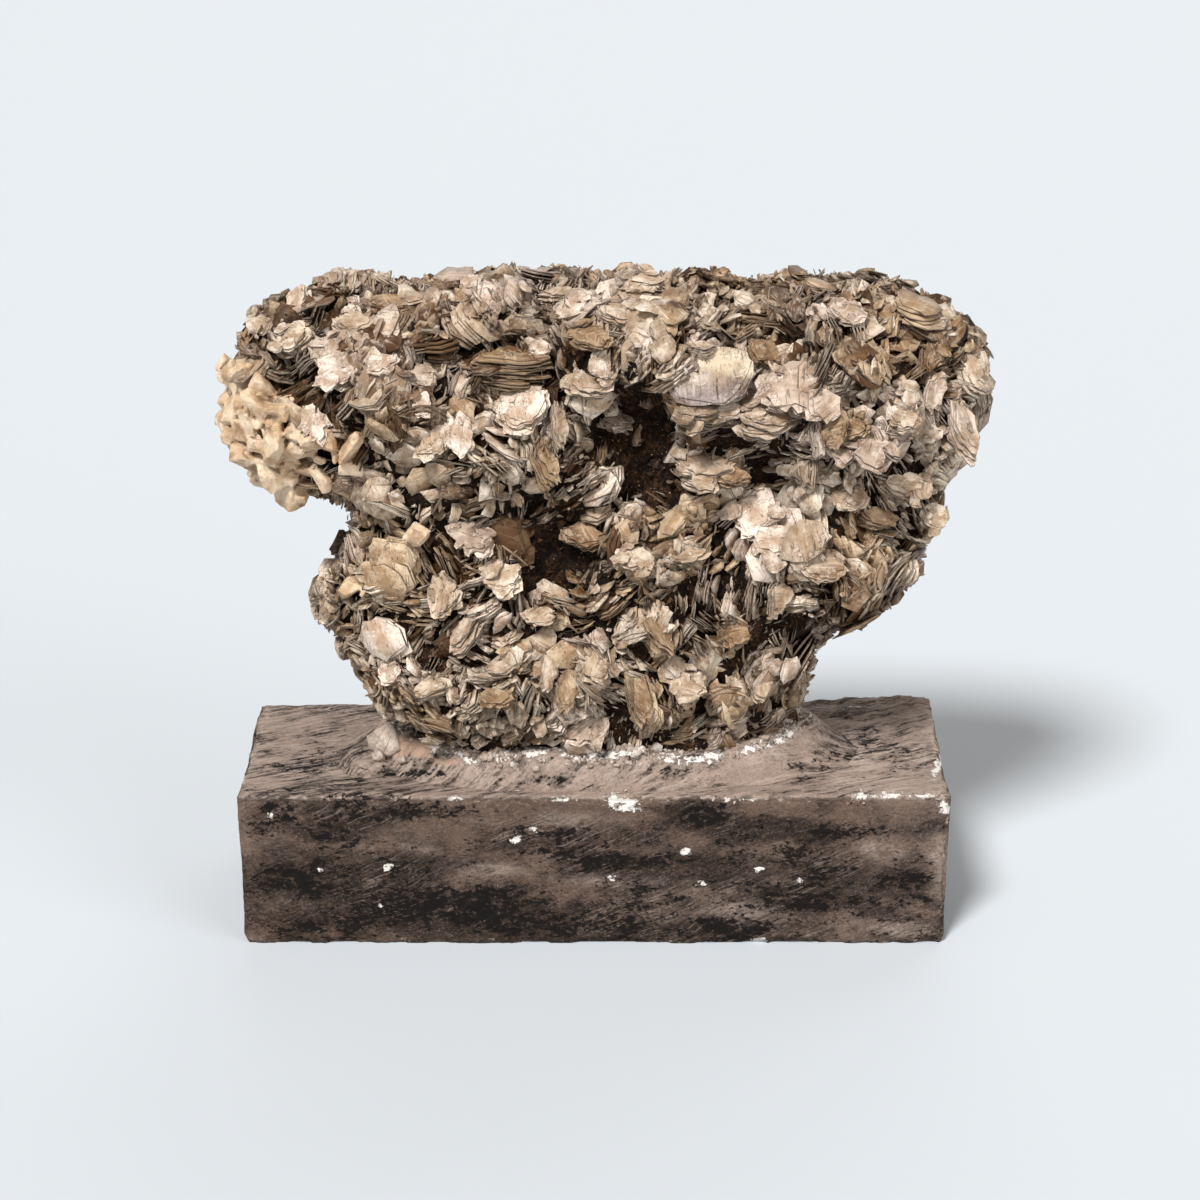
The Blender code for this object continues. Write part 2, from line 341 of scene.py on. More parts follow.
def painted_plaster(name, warm=False):
    """Bare plaster under paint that a dry brush left in streaks, rubbed off again on the arrises."""
    f = Finish(name)
    worked = 0.8 if warm else 1.0  # how strongly the trowel's marks show on what lies flat
    place, topness = f.place(), f.marked("lying")
    black, smoked = f.marked("black"), f.marked("smoked")
    white, rubbed = f.marked("white"), f.marked("rubbed")
    sway = f.node("ShaderNodeVectorMath", {"operation": "MULTIPLY_ADD"}, {
        0: f.node("ShaderNodeTexNoise", None, {"Vector": place, "Scale": 30, "Detail": 4}, output=1),
        1: (0.006, 0.006, 0.009), 2: place})
    flat = f.stretched(sway, f.node("ShaderNodeCombineXYZ", None,
                                    {0: 1.0, 1: 1.0, 2: 1 - topness * 0.85}))
    turn = f.node("ShaderNodeCombineXYZ", None, {1: (topness - 1) * COMBED, 2: topness * COMBED})
    turned = f.node("ShaderNodeMapping", None, {0: flat, 2: turn})
    soft = f.grain(place, (17, 19, 30), 3, 0.5)
    broad = f.grain(sway, (26, 36, 50), 6, 0.60)
    smoke = f.grain(sway, (90, 120, 140), 12, 0.74)
    ragged = f.grain(sway, (170, 240, 360), 12, 0.78)
    fleck = f.grain(sway, (520, 640, 820), 6, 0.74)
    hair = f.grain(flat, BRISTLES, 6, 0.70)
    scored = f.grain(turned, (90, 640, 1500), 6, 0.70)
    comb = f.grain(turned, (120, 620, 300), 6, 0.68)
    pits = f.grain(place, (900, 900, 900), 3, 0.6)
    grit = f.grain(place, (1300, 1500, 1700), 4, 0.7)
    crumbs = f.grain(place, (300, 300, 340), 8, 0.78)
    pale = f.marked("pale") * f.between(smoke, 0.38, 0.60)
    stroke = hair + topness * (comb - hair)

    light_share = f.between(soft * 0.45 + smoke * 0.35 + stroke * 0.2 + topness * 0.31 + pale * 0.26
                            + rubbed * 0.08, 0.40, 0.98)
    smudge = f.between(smoke * 0.60 + broad * 0.40 - topness * 0.030 - pale * 0.09 + black * 0.03
                       + smoked * 0.10 + (stroke - 0.5) * (0.05 + topness * 0.45)
                       + (fleck - 0.5) * 0.22, 0.42, 0.59)
    blacker = ((broad - 0.5) * 0.55 + black * 0.110 + smoked * 0.035 - topness * 0.026
               - pale * 0.06 - rubbed * 0.03 + (stroke - 0.5) * (0.12 + topness * 0.32)
               + (scored - 0.5) * (0.08 + topness * 0.16))
    black_share = f.between(ragged - 0.5 + (fleck - 0.5) * 0.70 + blacker, 0.114, 0.124)
    scratches = f.between(scored, 0.53, 0.60) * f.between(
        broad + smoke * 0.5 + topness * 0.08 + black * 0.08 + smoked * 0.06, 0.72, 0.84)
    hatched = 0.04 + f.between(broad, 0.50, 0.58) * (1 - topness) * 0.17 + topness * 0.44 * worked
    fleck_share = f.between(fleck - 0.5 + (ragged - 0.5) * 0.4 + blacker * 0.6, 0.130, 0.145)
    vein = (f.grain(sway, (120, 150, 170), 9, 0.74) - 0.5).math("ABSOLUTE")
    vein_share = f.between(vein + (fleck - 0.5) * 0.06, 0.012, 0.004) * f.between(
        broad + smoked * 0.1 - topness * 0.1, 0.46, 0.60)
    bare_share = f.between(rubbed * 0.30 + crumbs + stroke * 0.2 - black * 0.1, 0.86, 0.96)
    speck_share = f.between(crumbs + pits * 0.35, 0.90, 0.94)
    chip_share = f.between(white * 0.365 + crumbs + (pits - 0.5) * 0.2, 0.80, 0.84)
    painted = f.layered(
        PLASTER_TAUPE, (light_share, PLASTER_TOP),
        (f.between(stroke * 0.6 + smoke * 0.4, 0.52, 0.62) * (0.10 + topness * 0.50), PLASTER_PALE),
        (f.between(smoke * 0.6 + broad * 0.4, 0.50, 0.60) * topness * 0.55, PLASTER_PALE),
        (smudge * 0.90, PAINT_BROWN),
        (f.between(grit, 0.53, 0.62) * 0.35, PAINT_BROWN),
        (f.between(grit, 0.46, 0.38) * 0.12, PLASTER_PALE),
        (f.between(fleck * 0.6 + smoke * 0.4, 0.55, 0.63) * (1 - topness) * 0.30, PLASTER_TOP),
        (f.between(scored, 0.47, 0.40) * hatched, PLASTER_PALE),
        (scratches * (0.45 + topness * 0.35) * worked, PAINT_BLACK),
        (vein_share * 0.7, PAINT_BLACK),
        (fleck_share * 0.75, PAINT_BLACK),
        (black_share * 0.92, PAINT_BLACK),
        (bare_share * 0.8, PLASTER_PALE),
        (speck_share, PLASTER_WHITE),
        (chip_share, PLASTER_WHITE))
    if warm:
        warmth = f.between(f.marked("warm") * 0.8 + crumbs * 0.5, 0.62, 1.0) * 0.85
        painted = f.mixed(warmth, painted, PLASTER_WARM)
    height = (smoke * 0.9 + stroke * (0.4 + topness * 0.9 * worked) + crumbs * 0.6 + pits * 0.2
              + chip_share * 0.4 - black_share * 0.2)
    return f.wear(Base_Color=painted, Roughness=0.70 + smudge * 0.12, Specular_IOR_Level=0.16,
                  Normal=f.relief(height, 0.9 * MM, 0.85))


def brushed(mm, along_x=True):
    """The lie of the dry brush in millimetres of relief: long grooves with ragged ends."""
    along, over = (mm.x, mm.z + 0.6 * mm.y) if along_x else (mm.y, mm.z)
    sway = 1.5 * noise.noise(Vector((along / 30, over / 30, 3)))
    return 0.16 * noise.noise(Vector((along / 18, (over + sway) / 1.9, 7)))


block = bmesh.new()
block_size = BLOCK_HIGH - BLOCK_LOW
bmesh.ops.create_cube(block, size=1, matrix=Matrix.Translation((BLOCK_LOW + BLOCK_HIGH) / 2)
                      @ Matrix.Diagonal((*block_size, 1)))
for axis in range(3):
    along = [e for e in block.edges
             if abs((e.verts[0].co - e.verts[1].co).normalized()[axis]) > 0.99]
    bmesh.ops.subdivide_edges(block, edges=along, use_grid_fill=True,
                              cuts=round(block_size[axis] / BLOCK_CELL) - 1)
for vert in block.verts:
    inner = Vector([min(max(c, low + ARRIS_ROUND), high - ARRIS_ROUND)
                    for c, low, high in zip(vert.co, BLOCK_LOW, BLOCK_HIGH)])
    outward = (vert.co - inner).normalized()
    arris = min(1.0, (1 - max(map(abs, outward))) / ARRIS_TURN)
    mm = vert.co / MM
    depth = rough(mm, BLOCK_DENTS) - BLOCK_SUNK + brushed(mm, abs(outward.x) < 0.9)
    chip = rough(mm, ARRIS_CHIPS) + 0.15
    depth -= arris * (CHIPS_DEEP * max(0.0, chip) + rough(mm, ARRIS_GRIT))
    vert.co = inner + outward * (ARRIS_ROUND + depth * MM)
    vert.co.x *= 1 + BLOCK_FLARE * (mm.y * MM - BLOCK_LOW.y) / block_size.y
    if outward.z < -0.5:
        ragged = FOOT_RAGGED * arris * (noise.noise(Vector((mm.x / 12, mm.y / 9, 1))) > 0.1)
        vert.co.z = max(0.0, BLOCK_LOW.z + ragged * MM)
    if outward.z > 0.5:
        to_right = min(max((mm.x - HEAPED_FROM[0]) / HEAPED_OVER[0], 0), 1)
        to_back = min(max((mm.y - HEAPED_FROM[1]) / HEAPED_OVER[1], 0), 1)
        vert.co.z += to_right * to_back * rough(mm, HEAP_LUMPS, HEAP_HIGH) * MM
plaster_block = in_mesh("plaster_block_cast", block, painted_plaster("painted_plaster"), True)
spots = vertices_of(plaster_block)
in_sight = (spots[:, 1] < BLOCK_LOW.y + SEEN_DEEP) | (spots[:, 2] > BLOCK_HIGH.z - SEEN_DEEP)
for name, marks in (("black", BLACK_STROKES), ("pale", PALE_PATCHES), ("white", WHITE_CHIPS),
                    ("smoked", SMOKED)):
    mark(plaster_block, name, daubed(in_frame(spots), marks) * in_sight)
mark(plaster_block, "lying", spots[:, 2] > BLOCK_HIGH.z - LYING_DEEP)
rubbed_away = []
for spot in spots:
    off = [min(abs(c - low), abs(high - c)) for c, low, high in zip(spot, BLOCK_LOW, BLOCK_HIGH)]
    rubbed_away.append(max(0.0, 1 - sorted(off)[1] / RUBBED_WIDE))
mark(plaster_block, "rubbed", rubbed_away)
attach(plaster_block, "root")
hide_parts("plaster_block")

# ---------------------------------------------------------------- plaster bedding
# A mound of plaster trowelled over the brick while wet holds the crystal's foot: thick at the
# foot, feathered out to nothing over the top, with a white crumbly lip where it set.
BEDDING_LOW, BEDDING_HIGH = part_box("plaster_bedding")
BEDDING_CELL = 0.9 * MM
FEATHER = 1.25 * MM
FEATHER_SINKS = 0.7 * MM
BESIDE_MOUND = -1.2 * MM  # the height of the plaster where no mound is
FOOT_CLEAR = 1.6 * MM  # plaster nearer the crystal than this is drawn up to it
SKIRT_DEEP = 4 * MM
DRAWN_UP_TIMES, EVENED_TIMES = 30, 2
TROWELLED, LIP_WIDE = 0.28, 4.5  # the height of the trowel's sweeps and the lip's width, in mm
BEDDING_LUMPS = ((0.5, 9), (0.2, 3))
WARM_PATCHES = [((416, 746), (20, 11), -30), ((446, 762), (16, 5), 0), ((400, 752), (9, 10), 0)]
TROWEL_WHITES = [
    ((600, 797), (40, 3), 0), ((700, 765), (30, 3), 10), ((760, 748), (36, 4), 14),
    ((620, 780), (24, 3), 4), ((790, 730), (20, 6), 20), ((520, 792), (20, 2), 0),
    ((860, 706), (30, 4), 4),
]


def tree_of(node):
    """A CAD node's merged mesh, and the same as a tree that rays can hit."""
    work = bmesh.new()
    work.from_mesh(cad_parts[node].data)
    bmesh.ops.remove_doubles(work, verts=work.verts, dist=0.01 * MM)
    bmesh.ops.triangulate(work, faces=work.faces)
    work.normal_update()
    return work, BVHTree.FromBMesh(work)


bedding_tree = tree_of("plaster_bedding")[1]
cad_cluster, cluster_tree = tree_of("mica_cluster")
span = ((BEDDING_HIGH - BEDDING_LOW) / 2).to_2d()
middle = (BEDDING_LOW + BEDDING_HIGH) / 2
bedding = bmesh.new()
bmesh.ops.create_grid(
    bedding, x_segments=round(2 * span.x / BEDDING_CELL),
    y_segments=round(2 * span.y / BEDDING_CELL), size=1,
    matrix=Matrix.Translation(middle.to_2d().to_3d()) @ Matrix.Diagonal((span.x, span.y, 1, 1)))
rise = (BEDDING_HIGH.z - BLOCK_HIGH.z + FEATHER_SINKS) / (BEDDING_HIGH.z - BEDDING_LOW.z - FEATHER)
for vert in bedding.verts:
    hit = bedding_tree.ray_cast(Vector((vert.co.x, vert.co.y, 0.1)), Vector((0, 0, -1)))[0]
    above = (hit.z - BEDDING_LOW.z - FEATHER) * rise if hit else BESIDE_MOUND
    vert.co.z = BLOCK_HIGH.z - FEATHER_SINKS + above
under_foot = []
for vert in bedding.verts:
    up = cluster_tree.ray_cast(Vector((vert.co.x, vert.co.y, BLOCK_LOW.z)), Vector((0, 0, 1)))[0]
    if (up and up.z < BEDDING_HIGH.z) or cluster_tree.find_nearest(vert.co)[3] < FOOT_CLEAR:
        vert.co.z = BEDDING_HIGH.z
        under_foot.append(vert)
for _ in range(DRAWN_UP_TIMES):
    bmesh.ops.smooth_vert(bedding, verts=under_foot, factor=1.0, use_axis_z=True)
for _ in range(EVENED_TIMES):
    bmesh.ops.smooth_vert(bedding, verts=bedding.verts, factor=0.5, use_axis_z=True)
for vert in bedding.verts:
    mm = vert.co / MM
    out = math.hypot(mm.x / 1.9, mm.y)
    round_foot = math.atan2(mm.y, mm.x / 1.9)
    sweep = noise.noise(Vector((out / 2.3 + 1.4 * math.sin(2 * round_foot), round_foot * 2.2, 0)))
    to_foot = cluster_tree.find_nearest(vert.co)[3] / MM
    crumbled = max(0.0, 1 - to_foot / LIP_WIDE) * (0.7 + 1.6 * noise.noise(mm / 1.7))
    vert.co.z += (TROWELLED * sweep + rough(mm, BEDDING_LUMPS) + crumbled) * MM
border = [e for e in bedding.edges if e.is_boundary]
skirt = bmesh.ops.extrude_edge_only(bedding, edges=border)["geom"]
for vert in [g for g in skirt if isinstance(g, bmesh.types.BMVert)]:
    vert.co.z = BLOCK_HIGH.z - SKIRT_DEEP
bmesh.ops.contextual_create(bedding, geom=[g for g in skirt if isinstance(g, bmesh.types.BMEdge)])
bmesh.ops.recalc_face_normals(bedding, faces=bedding.faces)
plaster_bedding = in_mesh("plaster_bedding_trowelled", bedding,
                          painted_plaster("trowelled_plaster", warm=True), True)
spots = vertices_of(plaster_bedding)
to_foot = np.array([cluster_tree.find_nearest(Vector(p))[3] for p in spots]) / MM
ragged_lip = np.array([noise.noise(Vector(p) / (6 * MM)) for p in spots])
mark(plaster_bedding, "lying", np.ones(len(spots)))
mark(plaster_bedding, "rubbed", np.clip(0.5 + ragged_lip, 0, 1) * 0.5)
for name, marks in (("black", BLACK_STROKES), ("warm", WARM_PATCHES)):
    mark(plaster_bedding, name, daubed(in_frame(spots), marks))
lip = np.clip((3.4 + 2.6 * ragged_lip - to_foot) / 2.2, 0, 1)
swept = daubed(in_frame(spots), TROWEL_WHITES)
mark(plaster_bedding, "white", np.maximum(lip * 0.97, swept * 0.75))
mark(plaster_bedding, "pale", np.clip(1.1 - to_foot / 10, 0, 1) * 0.5)
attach(plaster_bedding, "root")
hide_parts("plaster_bedding")

# ---------------------------------------------------------------- groundmass
# Behind the plates the crystals run together into a dark brown mass of fine mica, which shows
# only in the clefts and hollows, glittering. Its near black also paints the shade of those clefts.
GROUND_SINKS = 5.6 * MM
GROUND_CELL = 2.6 * MM
GROUND_LUMPS = ((1.5, 5), (1.1, 2.1))
FOOT_TALL, FOOT_LEAST = 14 * MM, 0.25  # it sinks less towards its foot, which stays in the plaster
GROUND_BLACK_AND_SHADE, GROUND_BROWN = tint(19, 10, 4), tint(76, 48, 25)
GLINT = tint(150, 128, 104)

ground = cad_cluster.copy()
for vert in ground.verts:
    foot = min(max((vert.co.z - BEDDING_LOW.z) / FOOT_TALL, FOOT_LEAST), 1.0)
    vert.co -= vert.normal * GROUND_SINKS * foot


def run_together(body, grid, share_kept=1.0):
    """A bmesh of the body's shape with its overlaps joined; the body itself goes."""
    knit = body.modifiers.new("knit", "REMESH")
    knit.mode, knit.voxel_size = "VOXEL", grid
    thin = body.modifiers.new("thin", "DECIMATE")
    thin.ratio = share_kept
    graph = bpy.context.evaluated_depsgraph_get()
    data = bpy.data.meshes.new_from_object(body.evaluated_get(graph))
    bpy.data.objects.remove(body)
    work = bmesh.new()
    work.from_mesh(data)
    work.normal_update()
    return work


ground = run_together(in_mesh("groundmass_body", ground), GROUND_CELL)
for vert in ground.verts:
    mm = vert.co / MM
    vert.co += vert.normal * MM * rough(mm, GROUND_LUMPS)
ground_tree = BVHTree.FromBMesh(ground)
f = Finish("groundmass")
place = f.place()
coarse, fine = f.grain(place, (160, 160, 160), 5, 0.7), f.grain(place, (900, 900, 900), 2, 0.6)
glint_share = f.between(f.grain(place, (1500, 1500, 1500), 1, 0.5) * 0.75 + coarse * 0.25, 0.65, 0.70)
dark = f.mixed(f.between(coarse * 0.6 + fine * 0.4, 0.45, 0.68), GROUND_BLACK_AND_SHADE, GROUND_BROWN)
ground_finish = f.wear(Base_Color=f.mixed(glint_share, dark, GLINT),
                       Roughness=0.75 - glint_share * 0.5, Specular_IOR_Level=0.15,
                       Normal=f.relief(fine + coarse, 1.2 * MM, 0.9))
groundmass = in_mesh("mica_groundmass", ground, ground_finish)
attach(groundmass, "root")
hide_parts("mica_cluster")

# ---------------------------------------------------------------- mica books, how they lie
# Mica grows in books of thin sheets. Neighbouring books lie alike in bunches: on edge, splayed
# like a fan, curled round a middle like petals, or shingled, with a cleft between bunches.
BUNCH_APART = 11 * MM
BUNCH_REACH = 0.55 * BUNCH_APART
LAMP_REACH = 22 * MM


def surface_samples(count, seed):
    """Even random points of the crystal's outside, with the way out there."""
    draw = np.random.default_rng(seed)
    corners = np.array([[v.co for v in face.verts] for face in cad_cluster.faces])
    outs = np.array([[v.normal for v in face.verts] for face in cad_cluster.faces])
    areas = np.linalg.norm(np.cross(corners[:, 1] - corners[:, 0], corners[:, 2] - corners[:, 0]),
                           axis=1)
    pick = draw.choice(len(areas), count, p=areas / areas.sum())
    a, b = np.sqrt(draw.random(count)), draw.random(count)
    share = np.stack([1 - a, a * (1 - b), a * b], 1)
    points = (corners[pick] * share[:, :, None]).sum(1)
    out = (outs[pick] * share[:, :, None]).sum(1)
    return points, out / np.linalg.norm(out, axis=1)[:, None]


def spaced(points, apart):
    """The indices of the points that keep clear of those before them; apart may vary."""
    apart = np.broadcast_to(apart, len(points))
    cell = apart.max()
    taken, kept = {}, []
    for index, point in enumerate(points):
        key = tuple((point // cell).astype(int))
        near = [k for i in (-1, 0, 1) for j in (-1, 0, 1) for h in (-1, 0, 1)
                for k in taken.get((key[0] + i, key[1] + j, key[2] + h), ())]
        if all(((points[k] - point) ** 2).sum() > apart[index] ** 2 for k in near):
            taken.setdefault(key, []).append(index)
            kept.append(index)
    return np.array(kept)


def unit(vectors):
    """Each row's direction, with a length of 1."""
    return vectors / np.maximum(np.linalg.norm(vectors, axis=-1, keepdims=True), 1e-9)


def within(pixels, ovals):
    """How far inside the nearest of some ovals each pixel is, from 0 to 1."""
    deep = np.zeros(len(pixels))
    for (x, y), (half_width, half_height) in ovals:
        off = np.hypot((pixels[:, 0] - x) / half_width, (pixels[:, 1] - y) / half_height)
        deep = np.maximum(deep, np.clip(2 * (1.15 - off), 0, 1))
    return deep


def shut_in(points, outs, rays=14):
    """How much of the sky the crystal itself hides at each point."""
    draw = np.random.default_rng(5)
    spread = unit(draw.normal(size=(rays, 3)))
    share = []
    for point, out in zip(points, outs):
        start, blocked = Vector(point + out * 0.6 * MM), 0
        for ray in spread:
            ray = unit(ray + out * 1.05)
            blocked += cluster_tree.ray_cast(start, Vector(ray), LAMP_REACH)[0] is not None
        share.append(blocked / rays)
    return np.array(share)


# Places that differ, each the middle of an oval in pixels of the view and its half width and height.
DARK_HOLLOWS = [
    ((645, 430), (30, 62)), ((712, 437), (34, 22)), ((556, 550), (48, 40)), ((457, 502), (20, 16)),
    ((481, 329), (18, 18)), ((559, 640), (14, 14)), ((697, 698), (16, 12)), ((808, 640), (26, 14)),
    ((793, 330), (14, 22)), ((911, 350), (18, 22)), ((392, 415), (9, 22)), ((735, 590), (16, 14)),
    ((640, 470), (26, 26)), ((520, 510), (30, 12)), ((620, 735), (12, 18)), ((850, 610), (20, 14)),
]
FINE_GROUND = [
    ((700, 275), (110, 16)), ((370, 290), (60, 18)), ((400, 470), (34, 30)), ((840, 600), (60, 40)),
    ((340, 610), (34, 44)), ((660, 575), (60, 26)), ((800, 285), (90, 18)), ((420, 700), (50, 30)),
]
CREAMY = [  # the knob comes first, and the column under it after that
    ((262, 420), (46, 66)), ((395, 520), (34, 90)), ((360, 590), (50, 50)), ((330, 480), (40, 40)),
]
SILVERY = [
    ((520, 420), (48, 30)), ((720, 380), (60, 50)), ((800, 420), (70, 50)), ((880, 460), (60, 40)),
    ((960, 440), (30, 60)), ((760, 520), (50, 30)), ((350, 350), (60, 40)), ((600, 290), (60, 40)),
    ((500, 290), (40, 20)), ((520, 600), (50, 30)), ((590, 735), (50, 30)),
]
BROWNISH = [
    ((900, 350), (60, 36)), ((860, 560), (50, 50)), ((740, 300), (60, 24)), ((620, 530), (60, 30)),
    ((430, 450), (40, 40)), ((640, 680), (50, 40)),
]
PALER = [
    ((925, 450), (66, 120)), ((600, 690), (180, 60)), ((820, 525), (130, 85)),
    ((380, 600), (60, 90)), ((490, 480), (60, 50)),
]
DULLER = [((530, 345), (105, 60)), ((330, 370), (80, 80))]

BUNCHES = dict(on_edge=0.40, fan=0.30, petals=0.08, shingled=0.22)
bunch_points, bunch_outs = surface_samples(9000, 11)
kept = spaced(bunch_points, BUNCH_APART)
bunch_points, bunch_outs = bunch_points[kept], bunch_outs[kept]
bunch_draw = np.random.default_rng(21)
bunch_kind = bunch_draw.choice(len(BUNCHES), len(kept), p=list(BUNCHES.values()))
lie = unit(np.cross(bunch_outs, bunch_draw.normal(size=(len(kept), 3))))
bunch_lift = bunch_draw.uniform(-2.2, 0.6, len(kept)) * MM
bunch_tone = bunch_draw.normal(0, 1, len(kept))
bunch_hue = bunch_draw.random(len(kept))
bunch_loose = bunch_draw.uniform(0.10, 0.55, len(kept))
bunch_splay = bunch_draw.uniform(0.2, 0.9, len(kept)) * bunch_draw.choice((-1, 1), len(kept))
bunch_tree = KDTree(len(kept))
for index, point in enumerate(bunch_points):
    bunch_tree.insert(point, index)
bunch_tree.balance()


def grown(points, outs, draw):
    """The way each book's sheets face, the lift of its bunch, and which bunch that is."""
    bunch = np.array([bunch_tree.find(p)[1] for p in points])
    off = points - bunch_points[bunch]
    off -= outs * (off * outs).sum(1)[:, None]
    reach = np.linalg.norm(off, axis=1) / BUNCH_REACH
    tangent = unit(lie[bunch] - outs * (lie[bunch] * outs).sum(1)[:, None])
    splay = bunch_splay[bunch] * (off * tangent).sum(1) / BUNCH_REACH
    angle = dict(on_edge=0.25 * splay + 0.25, fan=1.1 * splay + 0.1, shingled=1.15 + 0.25 * splay)
    faces = np.zeros_like(points)
    for kind, name in enumerate(BUNCHES):
        mine = bunch_kind[bunch] == kind
        if name == "petals":
            faces[mine] = unit(unit(off[mine]) * (0.5 + reach[mine, None]) + outs[mine] * 0.55)
        else:
            turn = angle[name][mine, None]
            faces[mine] = tangent[mine] * np.cos(turn) + outs[mine] * np.sin(turn)
    faces = unit(faces + draw.normal(0, 1, faces.shape) * bunch_loose[bunch, None])
    faces[(faces * outs).sum(1) < 0] *= -1
    faces = unit(faces + outs * 0.75 * np.clip(outs[:, 2:] - 0.35, 0, 0.6))
    lift = bunch_lift[bunch] - 1.7 * MM * np.clip(reach - 0.5, 0, 1.4)
    return faces, lift, bunch


# ---------------------------------------------------------------- mica books, how one is made
# A book is a few packs of sheets pressed on each other. Each pack's outline is torn a little
# differently and stands back from the one under it, so the edge is a flight of thin steps.
ATLAS = 4  # the sheet that a finish is drawn on has this many squares each way
FACE_SQUARES = ATLAS * (ATLAS - 1)
EDGE_BANDS = 4
SQUARE_MARGIN = 0.03
STAIN_LEAVES = (0.46, 0.35, 0.25, 1)  # how much of each colour a brown stain lets through


def torn_outline(draw, sides, raggedness):
    """A radius at each corner of an outline: slow bulges, straight breaks, and nicks."""
    angle = np.arange(sides) / sides * math.tau
    radius = np.ones(sides)
    for wave in (2, 3, 4):
        radius += 1.5 * raggedness / wave * draw.normal() * np.cos(wave * angle
                                                                   + draw.random() * math.tau)
    for _ in range(draw.integers(2, 5)):
        facing_break = np.cos(angle - draw.random() * math.tau)
        broken_at = draw.uniform(0.50, 0.92) / np.maximum(facing_break, 0.2)
        radius = np.minimum(radius, broken_at)
    return radius + draw.normal(0, raggedness * 0.5, sides)


def book_of_sheets(seed, sides, sheets, raggedness, drift, opening, crown=()):
    """A book 1 in radius and 1 thick, as arrays that can be laid many times. Its sheets are
    pressed together on one side and stand open on the other, and each slips by the drift. The
    crown is how far out each ring of the top sheet's uneven face lies."""
    draw = np.random.default_rng(seed)
    work = bmesh.new()
    outline = torn_outline(draw, sides, raggedness)
    slip_way, open_way = draw.random(2) * math.tau
    opens = Vector((math.cos(open_way), math.sin(open_way), 0))
    centre = Vector((0, 0, 0))

    def drawn_up(face):
        risen = bmesh.ops.extrude_face_region(work, geom=[face])["geom"]
        return next(g for g in risen if isinstance(g, bmesh.types.BMFace))

    for sheet in range(sheets):
        rim = bmesh.ops.create_circle(work, cap_ends=True, radius=1, segments=sides)["verts"]
        face = rim[0].link_faces[0]
        lens = 1.04 - 0.20 * (2 * (sheet + 0.5) / sheets - 1) ** 2 - 0.10 * draw.random()
        own = torn_outline(draw, sides, raggedness)
        torn = lens * (0.5 * outline + 0.5 * own) if sheets > 1 else outline
        slope = opening * (sheet - (sheets - 1) / 2) / sheets + draw.normal(0, 0.08 * opening)
        for vert in rim:
            heading = vert.co.normalized()
            spot = centre + heading * torn[round(math.atan2(heading.y, heading.x)
                                                 / math.tau * sides) % sides]
            vert.co = (spot.x, spot.y, sheet / sheets + slope * (1 + spot.dot(opens)))
        thickness = draw.uniform(0.70, 1.05) / sheets
        face = drawn_up(face)
        for vert in face.verts:
            vert.co.z += thickness
        for share in crown if sheet == sheets - 1 else ():
            face = drawn_up(face)
            hub = face.calc_center_median()
            for vert in face.verts:
                vert.co = hub + (vert.co - hub) * share
                vert.co.z += draw.normal(0, 0.04)
        bmesh.ops.poke(work, faces=[face])
        slip = drift * draw.uniform(0.2, 1.6)
        centre = centre + Vector((math.cos(slip_way), math.sin(slip_way), 0)) * slip
        slip_way += draw.normal(0, 0.7)
    middle = sum((v.co for v in work.verts), Vector()) / len(work.verts)
    for vert in work.verts:
        vert.co -= Vector((middle.x, middle.y, 0))
    bmesh.ops.recalc_face_normals(work, faces=work.faces)
    work.normal_update()
    corners, sizes, chart, is_edge = [], [], [], []
    reach = max(v.co.to_2d().length for v in work.verts)
    for face in work.faces:
        flat = abs(face.normal.z) > 0.5
        heading = math.atan2(face.calc_center_median().y, face.calc_center_median().x)
        half_way = face.calc_center_median().z
        band = int(draw.integers(EDGE_BANDS))
        for vert in face.verts:
            corners.append(vert.index)
            is_edge.append(not flat)
            if flat:
                chart.append((0.5 + vert.co.x / reach * 0.48, 0.5 + vert.co.y / reach * 0.48))
            else:
                swing = (math.atan2(vert.co.y, vert.co.x) - heading + math.pi) % math.tau - math.pi
                share = min(max((heading + swing) / math.tau + 0.5, 0), 1)
                chart.append((share, (band + (0.04 if vert.co.z < half_way else 0.96)) / EDGE_BANDS))
        sizes.append(len(face.verts))
    book = dict(places=np.array([v.co for v in work.verts]), corners=np.array(corners),
                sizes=np.array(sizes), chart=np.array(chart), is_edge=np.array(is_edge))
    work.free()
    return book


